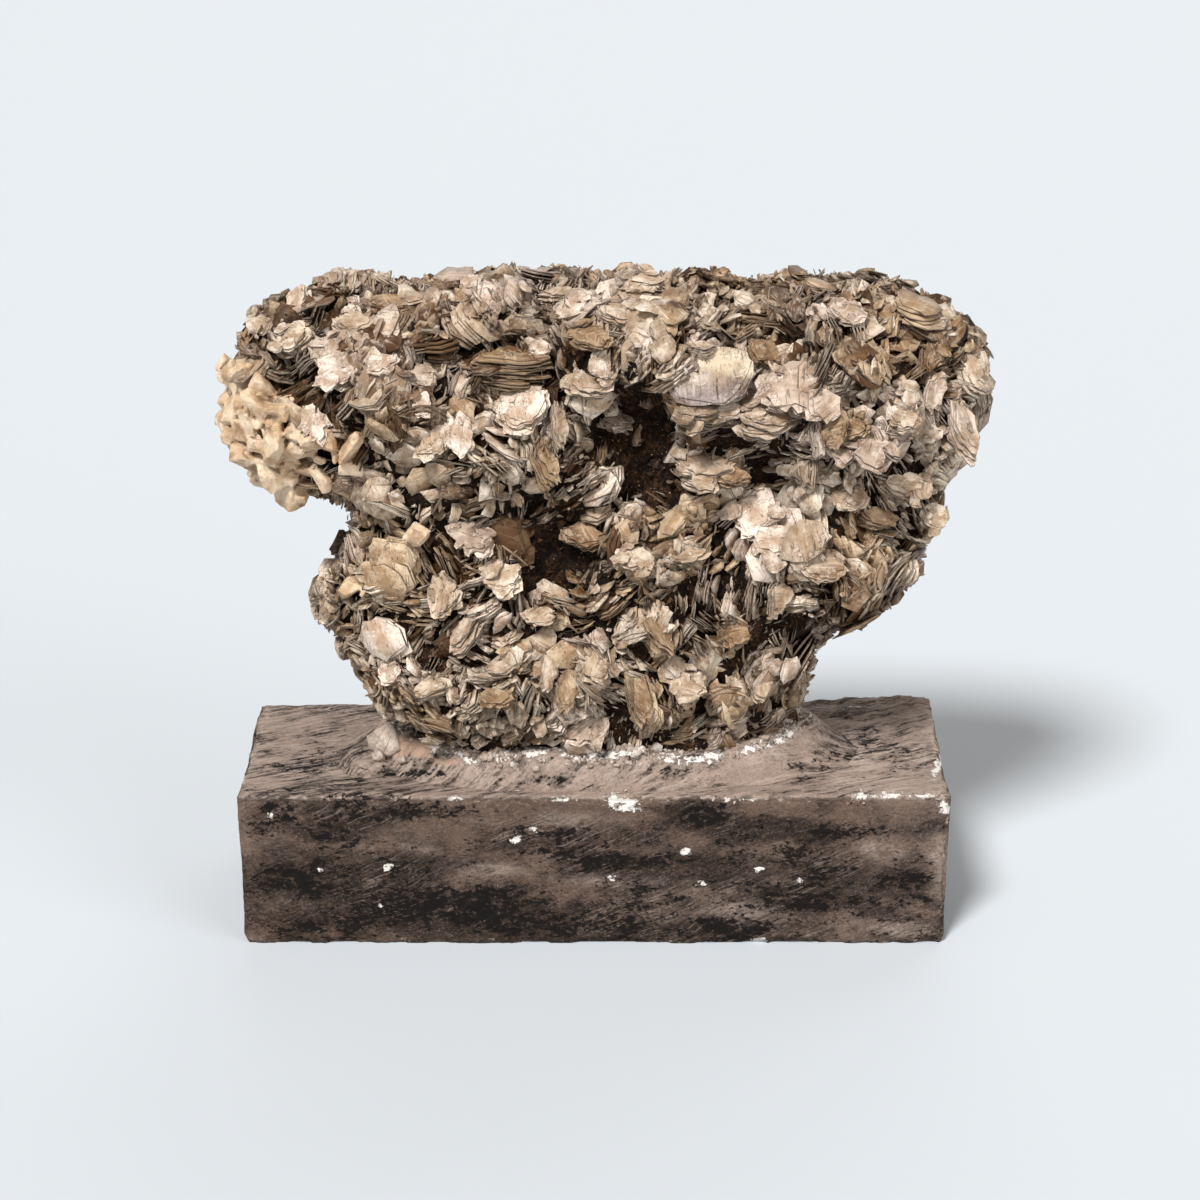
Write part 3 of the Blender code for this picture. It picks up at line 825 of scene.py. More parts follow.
def laid(book, centres, faces, radii, thick, draw, tones, curl=0.25, longer=None, roll=None,
         spin=None):
    """Many copies of one book: places, corners, sizes and chart of all of them together."""
    count = len(centres)
    turn = draw.random(count) * math.tau if roll is None else roll
    side = unit(np.cross(faces, draw.normal(size=(count, 3)))) if roll is None else unit(
        np.cross(faces, np.array(VIEW_UP)))
    other = np.cross(faces, side)
    across = side * np.cos(turn)[:, None] + other * np.sin(turn)[:, None]
    upward = np.cross(faces, across)
    shape = np.repeat(book["places"][None], count, 0)
    stretch = draw.uniform(0.5, 1.0, count) if longer is None else longer
    bend = draw.normal(0, curl, count)
    bend_way = draw.random(count) * math.pi
    swing = shape[:, :, 0] * np.cos(bend_way)[:, None] + shape[:, :, 1] * np.sin(bend_way)[:, None]
    local_x = shape[:, :, 0] * radii[:, None]
    local_y = shape[:, :, 1] * (radii * stretch)[:, None]
    local_z = (shape[:, :, 2] - 0.5) * thick[:, None] + (bend * radii)[:, None] * (swing ** 2 - 0.4)
    places = (centres[:, None] + across[:, None] * local_x[..., None]
              + upward[:, None] * local_y[..., None] + faces[:, None] * local_z[..., None])
    corners = book["corners"][None] + (np.arange(count) * len(book["places"]))[:, None]
    spin = draw.random(count) * math.tau if spin is None else spin
    chart = book["chart"] - 0.5
    turned_x = chart[:, 0] * np.cos(spin)[:, None] - chart[:, 1] * np.sin(spin)[:, None]
    turned_y = chart[:, 0] * np.sin(spin)[:, None] + chart[:, 1] * np.cos(spin)[:, None]
    edge = book["is_edge"][None]
    inside = 1 - 2 * SQUARE_MARGIN
    local_u = np.where(edge, book["chart"][None, :, 0], turned_x * inside + 0.5)
    local_v = np.where(edge, book["chart"][None, :, 1], turned_y * inside + 0.5)
    square = np.clip((tones * FACE_SQUARES).astype(int), 0, FACE_SQUARES - 1)
    strip = np.clip((tones * ATLAS).astype(int), 0, ATLAS - 1)
    column = np.where(edge, strip[:, None], (square % ATLAS)[:, None])
    row = np.where(edge, ATLAS - 1, (square // ATLAS)[:, None])
    local_u = np.clip(local_u, 0.01, 0.99)
    charts = np.stack([(column + local_u) / ATLAS, (row + local_v) / ATLAS], -1)
    return (places.reshape(-1, 3), corners.reshape(-1), np.tile(book["sizes"], count),
            charts.reshape(-1, 2))


def bound(name, batches, finish):
    """All the books of a piece become one mesh, with the chart that its finish is drawn on."""
    shift, places, corners, sizes, charts = 0, [], [], [], []
    for part in batches:
        places.append(part[0])
        corners.append(part[1] + shift)
        sizes.append(part[2])
        charts.append(part[3])
        shift += len(part[0])
    places, corners, sizes, charts = map(np.concatenate, (places, corners, sizes, charts))
    data = bpy.data.meshes.new(name)
    data.vertices.add(len(places))
    data.loops.add(len(corners))
    data.polygons.add(len(sizes))
    data.vertices.foreach_set("co", places.astype(np.float32).ravel())
    data.loops.foreach_set("vertex_index", corners.astype(np.int32))
    starts = np.concatenate([[0], np.cumsum(sizes)[:-1]]).astype(np.int32)
    data.polygons.foreach_set("loop_start", starts)
    data.update(calc_edges=True)
    chart = data.uv_layers.new(name="OFBake")
    chart.data.foreach_set("uv", charts.astype(np.float32).ravel())
    if finish:
        data.materials.append(finish)
    return shown(name, data)


def chart_squares(f):
    """The chart of a finish, how many squares across and up each place is, and its square."""
    chart = f.node("ShaderNodeUVMap", {"uv_map": "OFBake"})
    across, upward = (f.node("ShaderNodeSeparateXYZ", None, {0: chart}, output=way) * ATLAS
                      for way in (0, 1))
    return chart, across, upward, across.math("FLOOR"), upward.math("FLOOR")


def mica_finish(name, tones, seam_and_step_shade, paper, gloss, sheen, blush=None):
    """Sheets seen on their faces and, in the top row of the chart, on their edges. A blush is
    the tones that the faces have at the bottom and at the top."""
    f = Finish(name)
    chart, across, upward, column, row = chart_squares(f)
    in_u, in_v = across - column - 0.5, upward - row - 0.5
    on_face = row < ATLAS - 1.5
    tone = f.toned(tones, (row * ATLAS + column) / (FACE_SQUARES - 1))
    cloud = f.grain(chart, (13, 13, 1), 3, 0.55)
    stain = f.grain(chart, (9, 9, 1), 5, 0.6, 0.4)
    torn = f.grain(chart, (16, 16, 1), 5, 0.62)
    scrap = f.grain(chart, (12, 12, 1), 7, 0.68)
    if blush:
        tone = f.mixed(f.between(in_v + in_u * 0.25 + (torn - 0.5) * 0.7, -0.22, 0.20), *blush)
    fleck = f.grain(chart, (200, 200, 1), 2, 0.6)
    scratch = f.grain(chart, (82, 9, 1), 6, 0.72, 0.5)
    crack = f.grain(chart, (120, 10, 1), 5, 0.65, 0.3)
    radius = (in_u * in_u + in_v * in_v).math("SQRT") * 2
    step = (radius * 8.5 + torn * 5.5 + column * 0.37).math("FRACT")
    # Dark contour lines near the rim stand for the edges of sheets under the top one: painted shade
    # of those steps.
    line = f.between(step, 0.14, 0.03) + f.between(step, 0.95, 1.0) * 0.5
    line = line * f.between(radius, 0.30, 0.75) * f.between(stain, 0.44, 0.54)
    scrap_on = f.between(scrap, 0.535, 0.541)
    scrap_rim = f.between((scrap - 0.531).math("ABSOLUTE"), 0.010, 0.002)
    split_on = f.between(crack, 0.40, 0.36) * f.between(cloud, 0.42, 0.55)
    face = f.layered(
        tone,
        (f.between(stain, 0.38, 0.62) * 0.85, f.mixed(1, tone, STAIN_LEAVES, "MULTIPLY")),
        (f.between(cloud, 0.47, 0.72) * 0.30, paper),
        (scrap_on * 0.30, paper),
        (f.between(radius, 0.72, 0.98) * f.between(torn, 0.44, 0.60) * 0.5, paper),
        (line * 0.75, seam_and_step_shade),
        (scrap_rim * 0.5, seam_and_step_shade),
        (split_on * 0.7, seam_and_step_shade),
        (f.between(fleck, 0.66, 0.74) * 0.7, seam_and_step_shade),
        (f.between(scratch, 0.56, 0.64) * 0.40, paper),
        (f.between(scratch, 0.43, 0.36) * 0.55, seam_and_step_shade))
    leaf = f.grain(chart, (26, 210, 1), 4, 0.7)
    strip_tone = f.toned(tones, column / (ATLAS - 1))
    band = (upward * EDGE_BANDS).math("FRACT")
    # An edge is dark between lighter leaves and darkest at the foot of each sheet's edge: painted
    # shade under each step, partly the gaps' own colour.
    edge = f.layered(seam_and_step_shade, (f.between(leaf, 0.42, 0.60), f.mixed(0.45, strip_tone, paper)),
                     (f.between(band, 0.36, 0.16), seam_and_step_shade))
    height = (on_face * (cloud * 0.5 + step * 0.3 + scrap_on * 0.4 - line * 0.6 - split_on * 0.6
                         + scratch * 1.4)
              + (1 - on_face) * (leaf * 1.2))
    return f.wear(
        Base_Color=f.mixed(on_face, edge, face), Specular_IOR_Level=0.24,
        Roughness=0.62 - on_face * (0.62 - gloss) + on_face * (cloud - 0.5) * 0.3,
        Metallic=on_face * sheen,
        Normal=f.relief(height, 0.3 * MM, 0.7))


# Dark brown of the gaps between sheets: painted shade of the steps, and the colour of real cracks,
# specks and scratches.
SEAM_AND_STEP_SHADE = tint(44, 24, 9)
SHEET_TONES = {  # dark to light, then the tone of torn paper-thin edges, gloss and lustre
    "mica_books_silver": ([tint(84, 61, 45), tint(146, 121, 101), tint(199, 178, 159),
                           tint(237, 218, 201)], tint(241, 224, 208), 0.34, 0.04),
    "mica_books_beige": ([tint(78, 54, 34), tint(136, 109, 83), tint(190, 166, 140),
                          tint(231, 213, 192)], tint(237, 221, 201), 0.40, 0.04),
    "mica_books_tan": ([tint(56, 35, 18), tint(108, 79, 52), tint(160, 130, 99),
                        tint(210, 184, 153)], tint(224, 201, 172), 0.42, 0.04),
    # the brown flakes also take the darkest tones, which are painted shade in the hollows and deep
    # down
    "mica_flakes_brown_and_shade": ([tint(21, 10, 3), tint(48, 28, 13), tint(84, 57, 34),
                           tint(130, 98, 68)], tint(142, 114, 85), 0.38, 0.08),
}
FINISHES = {name: mica_finish(name, tones, SEAM_AND_STEP_SHADE, paper, gloss, sheen)
            for name, (tones, paper, gloss, sheen) in SHEET_TONES.items()}

# ---------------------------------------------------------------- mica books, grown over the crystal
# Five coats of books cover the groundmass: brown flakes deep down, dark partly as painted shade,
# thick books over them, thin open ones outside, and small flakes and chips that fill what is left
# between them.
THICK_BOOKS = [book_of_sheets(100 + k, 8 + k % 3, 4 + k % 3, 0.20, 0.03 + 0.05 * (k % 3),
                              0.15 + 0.25 * (k % 4)) for k in range(60)]
THIN_BOOKS = [book_of_sheets(200 + k, 9 + k % 4, 2, 0.20, 0.16, 0.5) for k in range(36)]
FLAKES = [book_of_sheets(300 + k, 9 + k % 3, 1, 0.22, 0, 0) for k in range(24)]
CHIPS = [book_of_sheets(400 + k, 5 + k % 2, 1, 0.26, 0, 0) for k in range(40)]
COATS = [  # the sizes are in millimetres, and sunk is how far a sheet on edge goes in, in radii
    dict(tried=30000, apart=4.8, lift=(-3.8, -1.4), shapes=FLAKES, radius=5.6, spread=0.30,
         thick=(0.06, 0.14), tone=0.26, curl=0.12, sunk=0.90, seed=31),
    dict(tried=26000, apart=5.2, lift=(-2.4, 0.3), shapes=THICK_BOOKS, radius=6.4, spread=0.38,
         thick=(0.18, 0.46), tone=0.56, curl=0.07, sunk=0.84, seed=41),
    dict(tried=26000, apart=5.4, lift=(-1.4, 0.9), shapes=THIN_BOOKS, radius=5.4, spread=0.42,
         thick=(0.07, 0.18), tone=0.70, curl=0.12, sunk=0.90, seed=51),
    dict(tried=40000, apart=3.9, lift=(-2.4, 0.2), shapes=FLAKES, radius=3.1, spread=0.40,
         thick=(0.06, 0.16), tone=0.54, curl=0.14, sunk=0.95, seed=91),
    dict(tried=60000, apart=3.0, lift=(-1.8, 0.3), shapes=CHIPS, radius=1.5, spread=0.45,
         thick=(0.08, 0.20), tone=0.64, curl=0.10, sunk=0.90, seed=61),
]
BURIED = BLOCK_HIGH.z + 1.0 * MM
FELDSPAR_END = (Vector((-0.099, -0.020, 0.152)), 26 * MM)  # the cream knob at the left
MOST_TRIANGLES = 185000  # in one piece
piles = {name: [] for name in FINISHES}


def feldspar_share(points, pixels, seen):
    """How far a place is feldspar instead of mica, from 0 to 1."""
    middle, reach = FELDSPAR_END
    knob = np.clip(3.0 * (1 - np.linalg.norm(points - np.array(middle), axis=1) / reach), 0, 1)
    return np.maximum(knob, 0.24 * within(pixels, CREAMY[1:]) * seen)


for coat in COATS:
    draw = np.random.default_rng(coat["seed"])
    points, outs = surface_samples(coat["tried"], coat["seed"])
    seen = outs[:, 1] < 0.25
    pixels = in_frame(points)
    fine = within(pixels, FINE_GROUND) * seen
    hollow = within(pixels, DARK_HOLLOWS) * seen
    apart = coat["apart"] * MM * (1 - 0.25 * fine) * (1 + 0.25 * hollow)
    kept = spaced(points, apart)
    kept = kept[points[kept, 2] > BURIED]
    spar = feldspar_share(points[kept], pixels[kept], seen[kept])
    kept = kept[draw.random(len(kept)) > 0.93 * spar]
    points, outs, fine, hollow, seen, pixels = (
        points[kept], outs[kept], fine[kept], hollow[kept], seen[kept], pixels[kept])
    count = len(points)
    faces, bunch_high, bunch = grown(points, outs, draw)
    closed_in = shut_in(points, outs)
    radii = coat["radius"] * MM * np.exp(draw.normal(0, coat["spread"], count))
    radii = np.clip(radii * (1 - 0.4 * fine) * (1 - 0.35 * hollow), 0.7 * MM, 9 * MM)
    thick = radii * draw.uniform(*coat["thick"], count)
    tilt = np.sqrt(np.clip(1 - (faces * outs).sum(1) ** 2, 0, 1))
    height = draw.uniform(*coat["lift"], count)
    lift = height * MM + bunch_high - 1.4 * MM * hollow + 2.4 * MM * np.clip(outs[:, 2] - 0.3, 0, 1)
    centres = points + outs * (lift - radii * tilt * coat["sunk"])[:, None]
    cream, silver, brown = (within(pixels, places) * seen for places in (CREAMY, SILVERY, BROWNISH))
    # Tones go darker where the crystal hides the sky, in the dark hollows and the deeper a book sits:
    # painted shade. The darkest become brown flakes.
    tone = (coat["tone"] + 0.11 * bunch_tone[bunch] + draw.normal(0, 0.23, count)
            - 0.55 * np.clip(closed_in - 0.25, 0, 1) - 0.45 * hollow + 0.16 * silver - 0.10 * brown
            + 0.05 * cream + 0.05 * (height - np.mean(coat["lift"]))
            + 0.33 * within(pixels, PALER) * seen - 0.24 * within(pixels, DULLER) * seen)
    hue = bunch_hue[bunch] * 0.7 + draw.random(count) * 0.35 - 0.30 * silver + 0.30 * brown
    family = np.where(tone < 0.24, 3, np.where(hue < 0.32, 0, np.where(hue < 0.72, 1, 2)))
    family = np.where((family == 0) & (cream > 0.4), 1, family)
    inner = np.clip((tone - 0.24) / 0.62, 0, 0.999)
    inner = np.where(family == 3, np.clip((tone + 0.1) / 0.34, 0, 0.999), inner)
    shape = draw.integers(len(coat["shapes"]), size=count)
    for number, name in enumerate(FINISHES):
        for kind, book in enumerate(coat["shapes"]):
            mine = (family == number) & (shape == kind)
            if mine.any():
                piles[name].append(laid(book, centres[mine], faces[mine], radii[mine], thick[mine],
                                        draw, inner[mine], coat["curl"]))
for name, batches in piles.items():
    part, parcel = 1, []
    for number, batch in enumerate(batches):
        parcel.append(batch)
        full = sum(len(b[1]) - 2 * len(b[2]) for b in parcel) > MOST_TRIANGLES
        if full or number == len(batches) - 1:
            books = bound(f"{name}_{part}", parcel, FINISHES[name])
            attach(books, "root")
            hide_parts("mica_cluster")
            part, parcel = part + 1, []

# ---------------------------------------------------------------- large books
# The books that catch the eye stand out of the crystal: broad plates, packs seen on edge and
# thin blades. Each is set on the crystal's surface where its place in the frame meets it.
GREAT = "great_mica_plate"  # a broad one, golden above and violet grey below
FINISHES[GREAT] = mica_finish(GREAT, [tint(140, 122, 112)] * 2, SEAM_AND_STEP_SHADE, tint(222, 208, 192), 0.26,
                              0.10, (tint(142, 127, 122), tint(206, 186, 158)))
SILVER, BEIGE, TAN = list(SHEET_TONES)[:3]
LARGE_BOOKS = [  # place, half width and height, roll, lean right and up, depth, finish, tone
    ((714, 377), (45, 37), 6, (0.06, 0.10), 9, GREAT, 0.60),
    ((703, 416), (32, 20), 28, (0.30, 1.10), 22, BEIGE, 0.60),
    ((729, 411), (14, 10), 5, (0.0, 0.2), 3, SILVER, 0.72),
    ((798, 391), (42, 26), 10, (0.25, 0.35), 16, SILVER, 0.74),
    ((770, 428), (30, 22), 12, (0.2, 0.9), 20, BEIGE, 0.80),
    ((816, 442), (22, 10), 82, (1.3, 0.1), 8, SILVER, 0.97),
    ((696, 474), (33, 22), 4, (0.0, 0.95), 24, BEIGE, 0.85),
    ((756, 517), (30, 24), 30, (0.05, 0.2), 12, SILVER, 0.98),
    ((775, 540), (26, 20), -20, (0.2, 0.35), 10, SILVER, 0.96),
    ((868, 462), (36, 24), -15, (0.3, 1.1), 20, SILVER, 0.70),
    ((908, 487), (24, 15), -6, (0.2, 0.35), 12, BEIGE, 0.90),
    ((967, 434), (17, 32), 12, (0.6, 0.25), 10, SILVER, 0.90),
    ((938, 394), (13, 22), -20, (0.5, 0.1), 8, SILVER, 0.85),
    ((936, 522), (17, 15), 0, (0.4, 0.1), 8, BEIGE, 0.86),
    ((879, 359), (16, 24), 15, (-0.5, 0.3), 8, TAN, 0.45),
    ((940, 345), (15, 26), -12, (-0.4, 0.4), 8, TAN, 0.42),
    ((825, 568), (23, 17), -18, (0.25, 0.4), 9, BEIGE, 0.68),
    ((860, 425), (20, 15), 10, (-0.4, 0.5), 8, TAN, 0.75),
    ((836, 428), (15, 20), -10, (-0.5, 0.2), 8, TAN, 0.62),
    ((521, 412), (28, 23), 35, (-0.15, 0.25), 12, SILVER, 0.88),
    ((457, 436), (17, 25), 10, (0.10, 0.15), 10, SILVER, 1.00),
    ((436, 440), (20, 34), -30, (-0.2, 0.2), 10, BEIGE, 0.88),
    ((503, 364), (42, 22), -12, (0.1, 2.2), 26, TAN, 0.62),
    ((539, 345), (13, 11), 0, (0.0, 0.3), 14, SILVER, 0.96),
    ((487, 288), (24, 15), -20, (0.0, 0.5), 9, SILVER, 0.72),
    ((424, 374), (17, 14), 0, (0.05, 0.2), 5, SILVER, 0.60),
    ((422, 404), (13, 14), 20, (0.1, 0.3), 6, SILVER, 0.96),
    ((382, 361), (17, 13), 10, (0.0, 0.4), 6, SILVER, 0.92),
    ((334, 369), (26, 18), -8, (-0.15, 0.35), 10, SILVER, 0.80),
    ((291, 337), (22, 20), 20, (-0.3, 0.7), 18, BEIGE, 0.90),
    ((297, 298), (14, 22), -14, (-0.5, 0.4), 10, BEIGE, 0.95),
    ((312, 423), (15, 22), 20, (-0.2, 0.2), 10, SILVER, 0.88),
    ((590, 385), (26, 20), 10, (0.2, 0.8), 14, BEIGE, 0.88),
    ((604, 366), (17, 24), -24, (0.5, 0.3), 9, SILVER, 0.86),
    ((468, 538), (20, 22), -14, (0.1, 0.15), 6, SILVER, 0.50),
    ((483, 547), (12, 14), 10, (0.05, 0.1), 5, SILVER, 0.98),
    ((507, 584), (25, 19), 12, (0.0, 0.45), 18, BEIGE, 0.97),
    ((597, 667), (20, 25), 20, (0.35, 0.45), 14, BEIGE, 0.66),
    ((464, 635), (24, 14), 62, (-0.8, 0.5), 12, BEIGE, 0.80),
    ((549, 672), (11, 22), -14, (0.4, 0.2), 8, BEIGE, 0.80),
    ((567, 690), (11, 24), -22, (0.5, 0.2), 8, TAN, 0.80),
    ((496, 698), (18, 14), 10, (0.1, 0.5), 10, TAN, 0.55),
    ((387, 674), (14, 14), 0, (-0.3, 0.2), 8, SILVER, 0.90),
    ((588, 736), (28, 20), 8, (0.0, 0.35), 8, SILVER, 0.62),
    ((482, 677), (17, 6), 0, (0.0, 1.4), 5, SILVER, 0.95),
    ((620, 430), (17, 12), 20, (0.2, 1.0), 12, SILVER, 0.92),
    ((560, 430), (10, 26), 14, (0.9, 0.1), 9, BEIGE, 0.75),
    ((545, 470), (12, 30), 20, (0.8, 0.2), 12, TAN, 0.70),
    ((640, 285), (24, 16), 30, (0.1, 0.8), 14, BEIGE, 0.85),
    ((615, 310), (20, 14), -30, (0.3, 0.6), 14, BEIGE, 0.80),
    ((660, 330), (16, 18), 30, (0.7, 0.3), 8, BEIGE, 0.90),
    ((590, 335), (26, 16), -12, (0.0, 0.9), 14, TAN, 0.75),
    ((705, 345), (18, 10), -10, (0.0, 1.0), 10, BEIGE, 0.85),
    ((580, 545), (24, 16), 6, (0.1, 0.7), 14, TAN, 0.62),
    ((636, 560), (20, 16), -20, (0.1, 0.5), 8, BEIGE, 0.80),
    ((690, 560), (22, 12), 30, (0.2, 0.9), 12, BEIGE, 0.70),
    ((735, 640), (26, 14), 40, (0.6, 0.6), 12, TAN, 0.66),
    ((780, 600), (26, 12), 60, (0.9, 0.3), 10, BEIGE, 0.72),
    ((660, 640), (24, 14), -50, (0.8, 0.3), 12, TAN, 0.72),
    ((540, 620), (20, 12), 0, (0.1, 0.6), 10, BEIGE, 0.75),
    ((440, 600), (18, 26), 10, (-0.4, 0.3), 12, BEIGE, 0.74),
    ((430, 690), (20, 12), 14, (-0.2, 0.8), 10, BEIGE, 0.80),
    ((640, 700), (14, 26), 10, (0.8, 0.2), 10, TAN, 0.70),
    ((690, 690), (18, 16), 0, (0.1, 0.5), 8, BEIGE, 0.72),
    ((760, 690), (14, 20), -10, (0.5, 0.4), 9, BEIGE, 0.76),
    ((350, 320), (20, 14), -30, (-0.1, 0.8), 12, BEIGE, 0.76),
    ((390, 300), (22, 14), 10, (0.0, 1.0), 12, TAN, 0.66),
    ((560, 290), (22, 12), 10, (0.0, 1.2), 12, BEIGE, 0.72),
    ((850, 310), (20, 16), -20, (0.2, 0.6), 9, SILVER, 0.70),
    ((765, 350), (20, 14), -50, (0.5, 0.5), 10, TAN, 0.60),
    ((905, 420), (18, 12), 10, (0.2, 0.6), 8, BEIGE, 0.82),
    ((880, 520), (20, 14), -14, (0.2, 0.7), 10, TAN, 0.80),
    ((850, 500), (18, 18), 20, (0.1, 0.5), 10, BEIGE, 0.80),
    ((800, 480), (16, 26), 8, (0.9, 0.2), 12, BEIGE, 0.85),
    ((730, 480), (18, 14), 0, (0.2, 0.7), 12, TAN, 0.72),
]
LARGE_STANDS = -0.5 * MM
LOOSE_SHEETS = 3  # that lie over the rim of each broad book
BROAD = 15  # pixels
large = {name: [] for name in FINISHES}
draw = np.random.default_rng(71)


def one(value):
    """A single number or vector, as laid() takes them."""
    return np.array([value], float)


for number, (pixel, halves, roll, lean, depth, name, tone) in enumerate(LARGE_BOOKS):
    spot, out = cluster_tree.ray_cast(VIEW_FROM, sight_line(pixel))[:2]
    pixel_size = (spot - VIEW_FROM).dot(VIEW_AHEAD) / FOCAL_PX
    facing = (-VIEW_AHEAD + VIEW_RIGHT * lean[0] + VIEW_UP * lean[1]).normalized()
    half_width, half_height = (half * pixel_size for half in halves)
    thick = depth * pixel_size
    faces_out = abs(facing.dot(out))
    buried = thick / 2 * faces_out + half_height * 0.75 * max(0, 1 - faces_out * 1.3)
    centre = spot + out * (LARGE_STANDS - buried)
    raggedness = 0.09 if name == GREAT else 0.24
    book = book_of_sheets(500 + number, 20 + number % 7, 5 + depth // 3, raggedness,
                          0.02 + 0.02 * (number % 3), 0.10 + 0.15 * (number % 3), (0.74, 0.42))
    large[name].append(laid(
        book, one(centre), one(facing), one(half_width), one(thick), draw,
        one(min(tone * 0.97, 0.999)), 0.04, longer=one(half_height / half_width),
        roll=one(math.radians(roll)), spin=one(math.pi) if name == GREAT else None))
    if min(halves) < BROAD or name == GREAT:
        continue
    for loose in range(LOOSE_SHEETS):
        way = Vector(draw.normal(size=3)).cross(facing).normalized()
        off = way * half_width * draw.uniform(0.45, 0.95) + facing * thick * draw.uniform(0.1, 0.6)
        book = book_of_sheets(700 + 3 * number + loose, 13, 3, 0.26, 0.08, 0.5)
        large[name].append(laid(
            book, one(centre + off), one((facing + way * draw.uniform(0, 0.5)).normalized()),
            one(half_width * draw.uniform(0.35, 0.65)), one(thick * draw.uniform(0.15, 0.35)), draw,
            one(np.clip(tone * 0.93 + draw.normal(0, 0.13), 0, 0.999)), 0.10))
for name, batches in large.items():
    if batches:
        title = name if name == GREAT else f"large_{name}"
        books = bound(title, batches, FINISHES[name])
        books.data.polygons.foreach_set("use_smooth", np.ones(len(books.data.polygons), bool))
        books.data.set_sharp_from_angle(angle=math.radians(28))
        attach(books, "root")
        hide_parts("mica_cluster")

# ---------------------------------------------------------------- feldspar
# The left knob and the column under it carry blocky cream feldspar: lumps broken along their
# cleavage and grown together, with sugary faces and brown in the creases, stain and painted shade.
FELDSPAR_CELL = 0.5 * MM
FELDSPAR_KEPT = 0.30
ROOT_REACH = 2.0 * MM  # a lump further than this from the groundmass would hang in the air
FELDSPAR_TONES = [tint(116, 85, 56), tint(163, 130, 95), tint(197, 167, 134), tint(222, 199, 171)]
FELDSPAR_WHITE, FELDSPAR_STAIN_AND_SHADE = tint(236, 218, 192), tint(96, 62, 32)
LUMP_SKIN = ((0.22, 2.2), (0.10, 0.8))


def cleaved_lump(seed, slab=False):
    """A lump bounded by flat breaks, as arrays that can be laid many times."""
    draw = np.random.default_rng(seed)
    work = bmesh.new()
    corners = unit(draw.normal(size=(16, 3))) * draw.uniform(0.75, 1.25, (16, 1))
    if slab:
        corners = np.sign(np.array([[k & 1, k & 2, k & 4] for k in range(8)]) - 0.5)
        corners *= draw.uniform(0.40, 0.54, (8, 3))
    for corner in corners:
        boxed = np.clip(corner * 1.4, -0.75, 0.75) * (1.1, 0.7, 1.0)
        bmesh.ops.create_vert(work, co=Vector(boxed) + Vector((0, 0, 0.5)))
    bmesh.ops.remove_doubles(work, verts=work.verts, dist=0.25)
    hull = bmesh.ops.convex_hull(work, input=work.verts)
    inner = {g for g in hull["geom_interior"] if isinstance(g, bmesh.types.BMVert)}
    bmesh.ops.delete(work, geom=list(inner), context="VERTS")
    bmesh.ops.recalc_face_normals(work, faces=work.faces)
    work.normal_update()
    corners, sizes, chart = [], [], []
    for face in work.faces:
        across = face.normal.orthogonal().normalized()
        upward = face.normal.cross(across)
        for vert in face.verts:
            corners.append(vert.index)
            chart.append((0.5 + vert.co.dot(across) * 0.3, 0.5 + vert.co.dot(upward) * 0.3))
        sizes.append(len(face.verts))
    lump = dict(places=np.array([v.co for v in work.verts]), corners=np.array(corners),
                sizes=np.array(sizes), chart=np.array(chart), is_edge=np.zeros(len(corners), bool))
    work.free()
    return lump


def islands(work):
    """The vertices of a bmesh in groups, each joined up by its edges."""
    left = set(work.verts)
    while left:
        front, island = [left.pop()], []
        while front:
            island.append(front.pop())
            near = {edge.other_vert(island[-1]) for edge in island[-1].link_edges} & left
            left -= near
            front.extend(near)
        yield island


FELDSPAR_COATS = [  # points tried, spacing, lift, median radius and seed
    (30000, 5.4, (-2.4, 0.2), 6.4, 81),
    (40000, 6.0, (-0.8, 0.6), 3.8, 82),
    (40000, 5.0, (-0.2, 1.0), 2.0, 83),
]
lumps, heaps = [cleaved_lump(600 + k) for k in range(18)], []
lump_places, lump_tones = [], []
for tried, apart, lift, radius, seed in FELDSPAR_COATS:
    draw = np.random.default_rng(seed)
    points, outs = surface_samples(tried, seed)
    pixels = in_frame(points)
    share = feldspar_share(points, pixels, outs[:, 1] < 0.25)
    kept = np.flatnonzero((share > (0.5 if radius > 5 else 0.05)) & (points[:, 2] > BURIED))
    kept = kept[spaced(points[kept], apart * MM)]
    kept = kept[draw.random(len(kept)) < share[kept] * 1.1]
    points, outs, count = points[kept], outs[kept], len(kept)
    radii = radius * MM * np.exp(draw.normal(0, 0.25, count))
    faces = unit(outs + draw.normal(0, 0.6, outs.shape))
    centres = points + outs * (draw.uniform(*lift, count) * MM - radii * 0.30)[:, None]
    # Lumps go darker where the crystal hides the sky: painted shade.
    tones = np.clip(draw.normal(0.46, 0.22, count) + 0.10 * (share[kept] > 0.5)
                    - 0.6 * (shut_in(points, outs) - 0.3), 0, 0.999)
    lump_places.append(centres + outs * radii[:, None] * 0.5)
    lump_tones.append(tones)
    shape = draw.integers(len(lumps), size=count)
    for kind, lump in enumerate(lumps):
        mine = shape == kind
        if mine.any():
            heaps.append(laid(lump, centres[mine], faces[mine], radii[mine],
                              radii[mine] * draw.uniform(0.7, 1.1, mine.sum()), draw, tones[mine], 0,
                              longer=draw.uniform(0.8, 1.1, mine.sum())))
mass = run_together(bound("loose_lumps", heaps, None), FELDSPAR_CELL, FELDSPAR_KEPT)
unrooted = []
for island in islands(mass):
    if min(ground_tree.find_nearest(vert.co)[3] for vert in island) > ROOT_REACH:
        unrooted.extend(island)
bmesh.ops.delete(mass, geom=unrooted, context="VERTS")
bmesh.ops.smooth_vert(mass, verts=mass.verts, factor=0.3, use_axis_x=True, use_axis_y=True,
                      use_axis_z=True)
mass.normal_update()
lump_places, lump_tones = np.concatenate(lump_places), np.concatenate(lump_tones)
lump_tree = KDTree(len(lump_places))
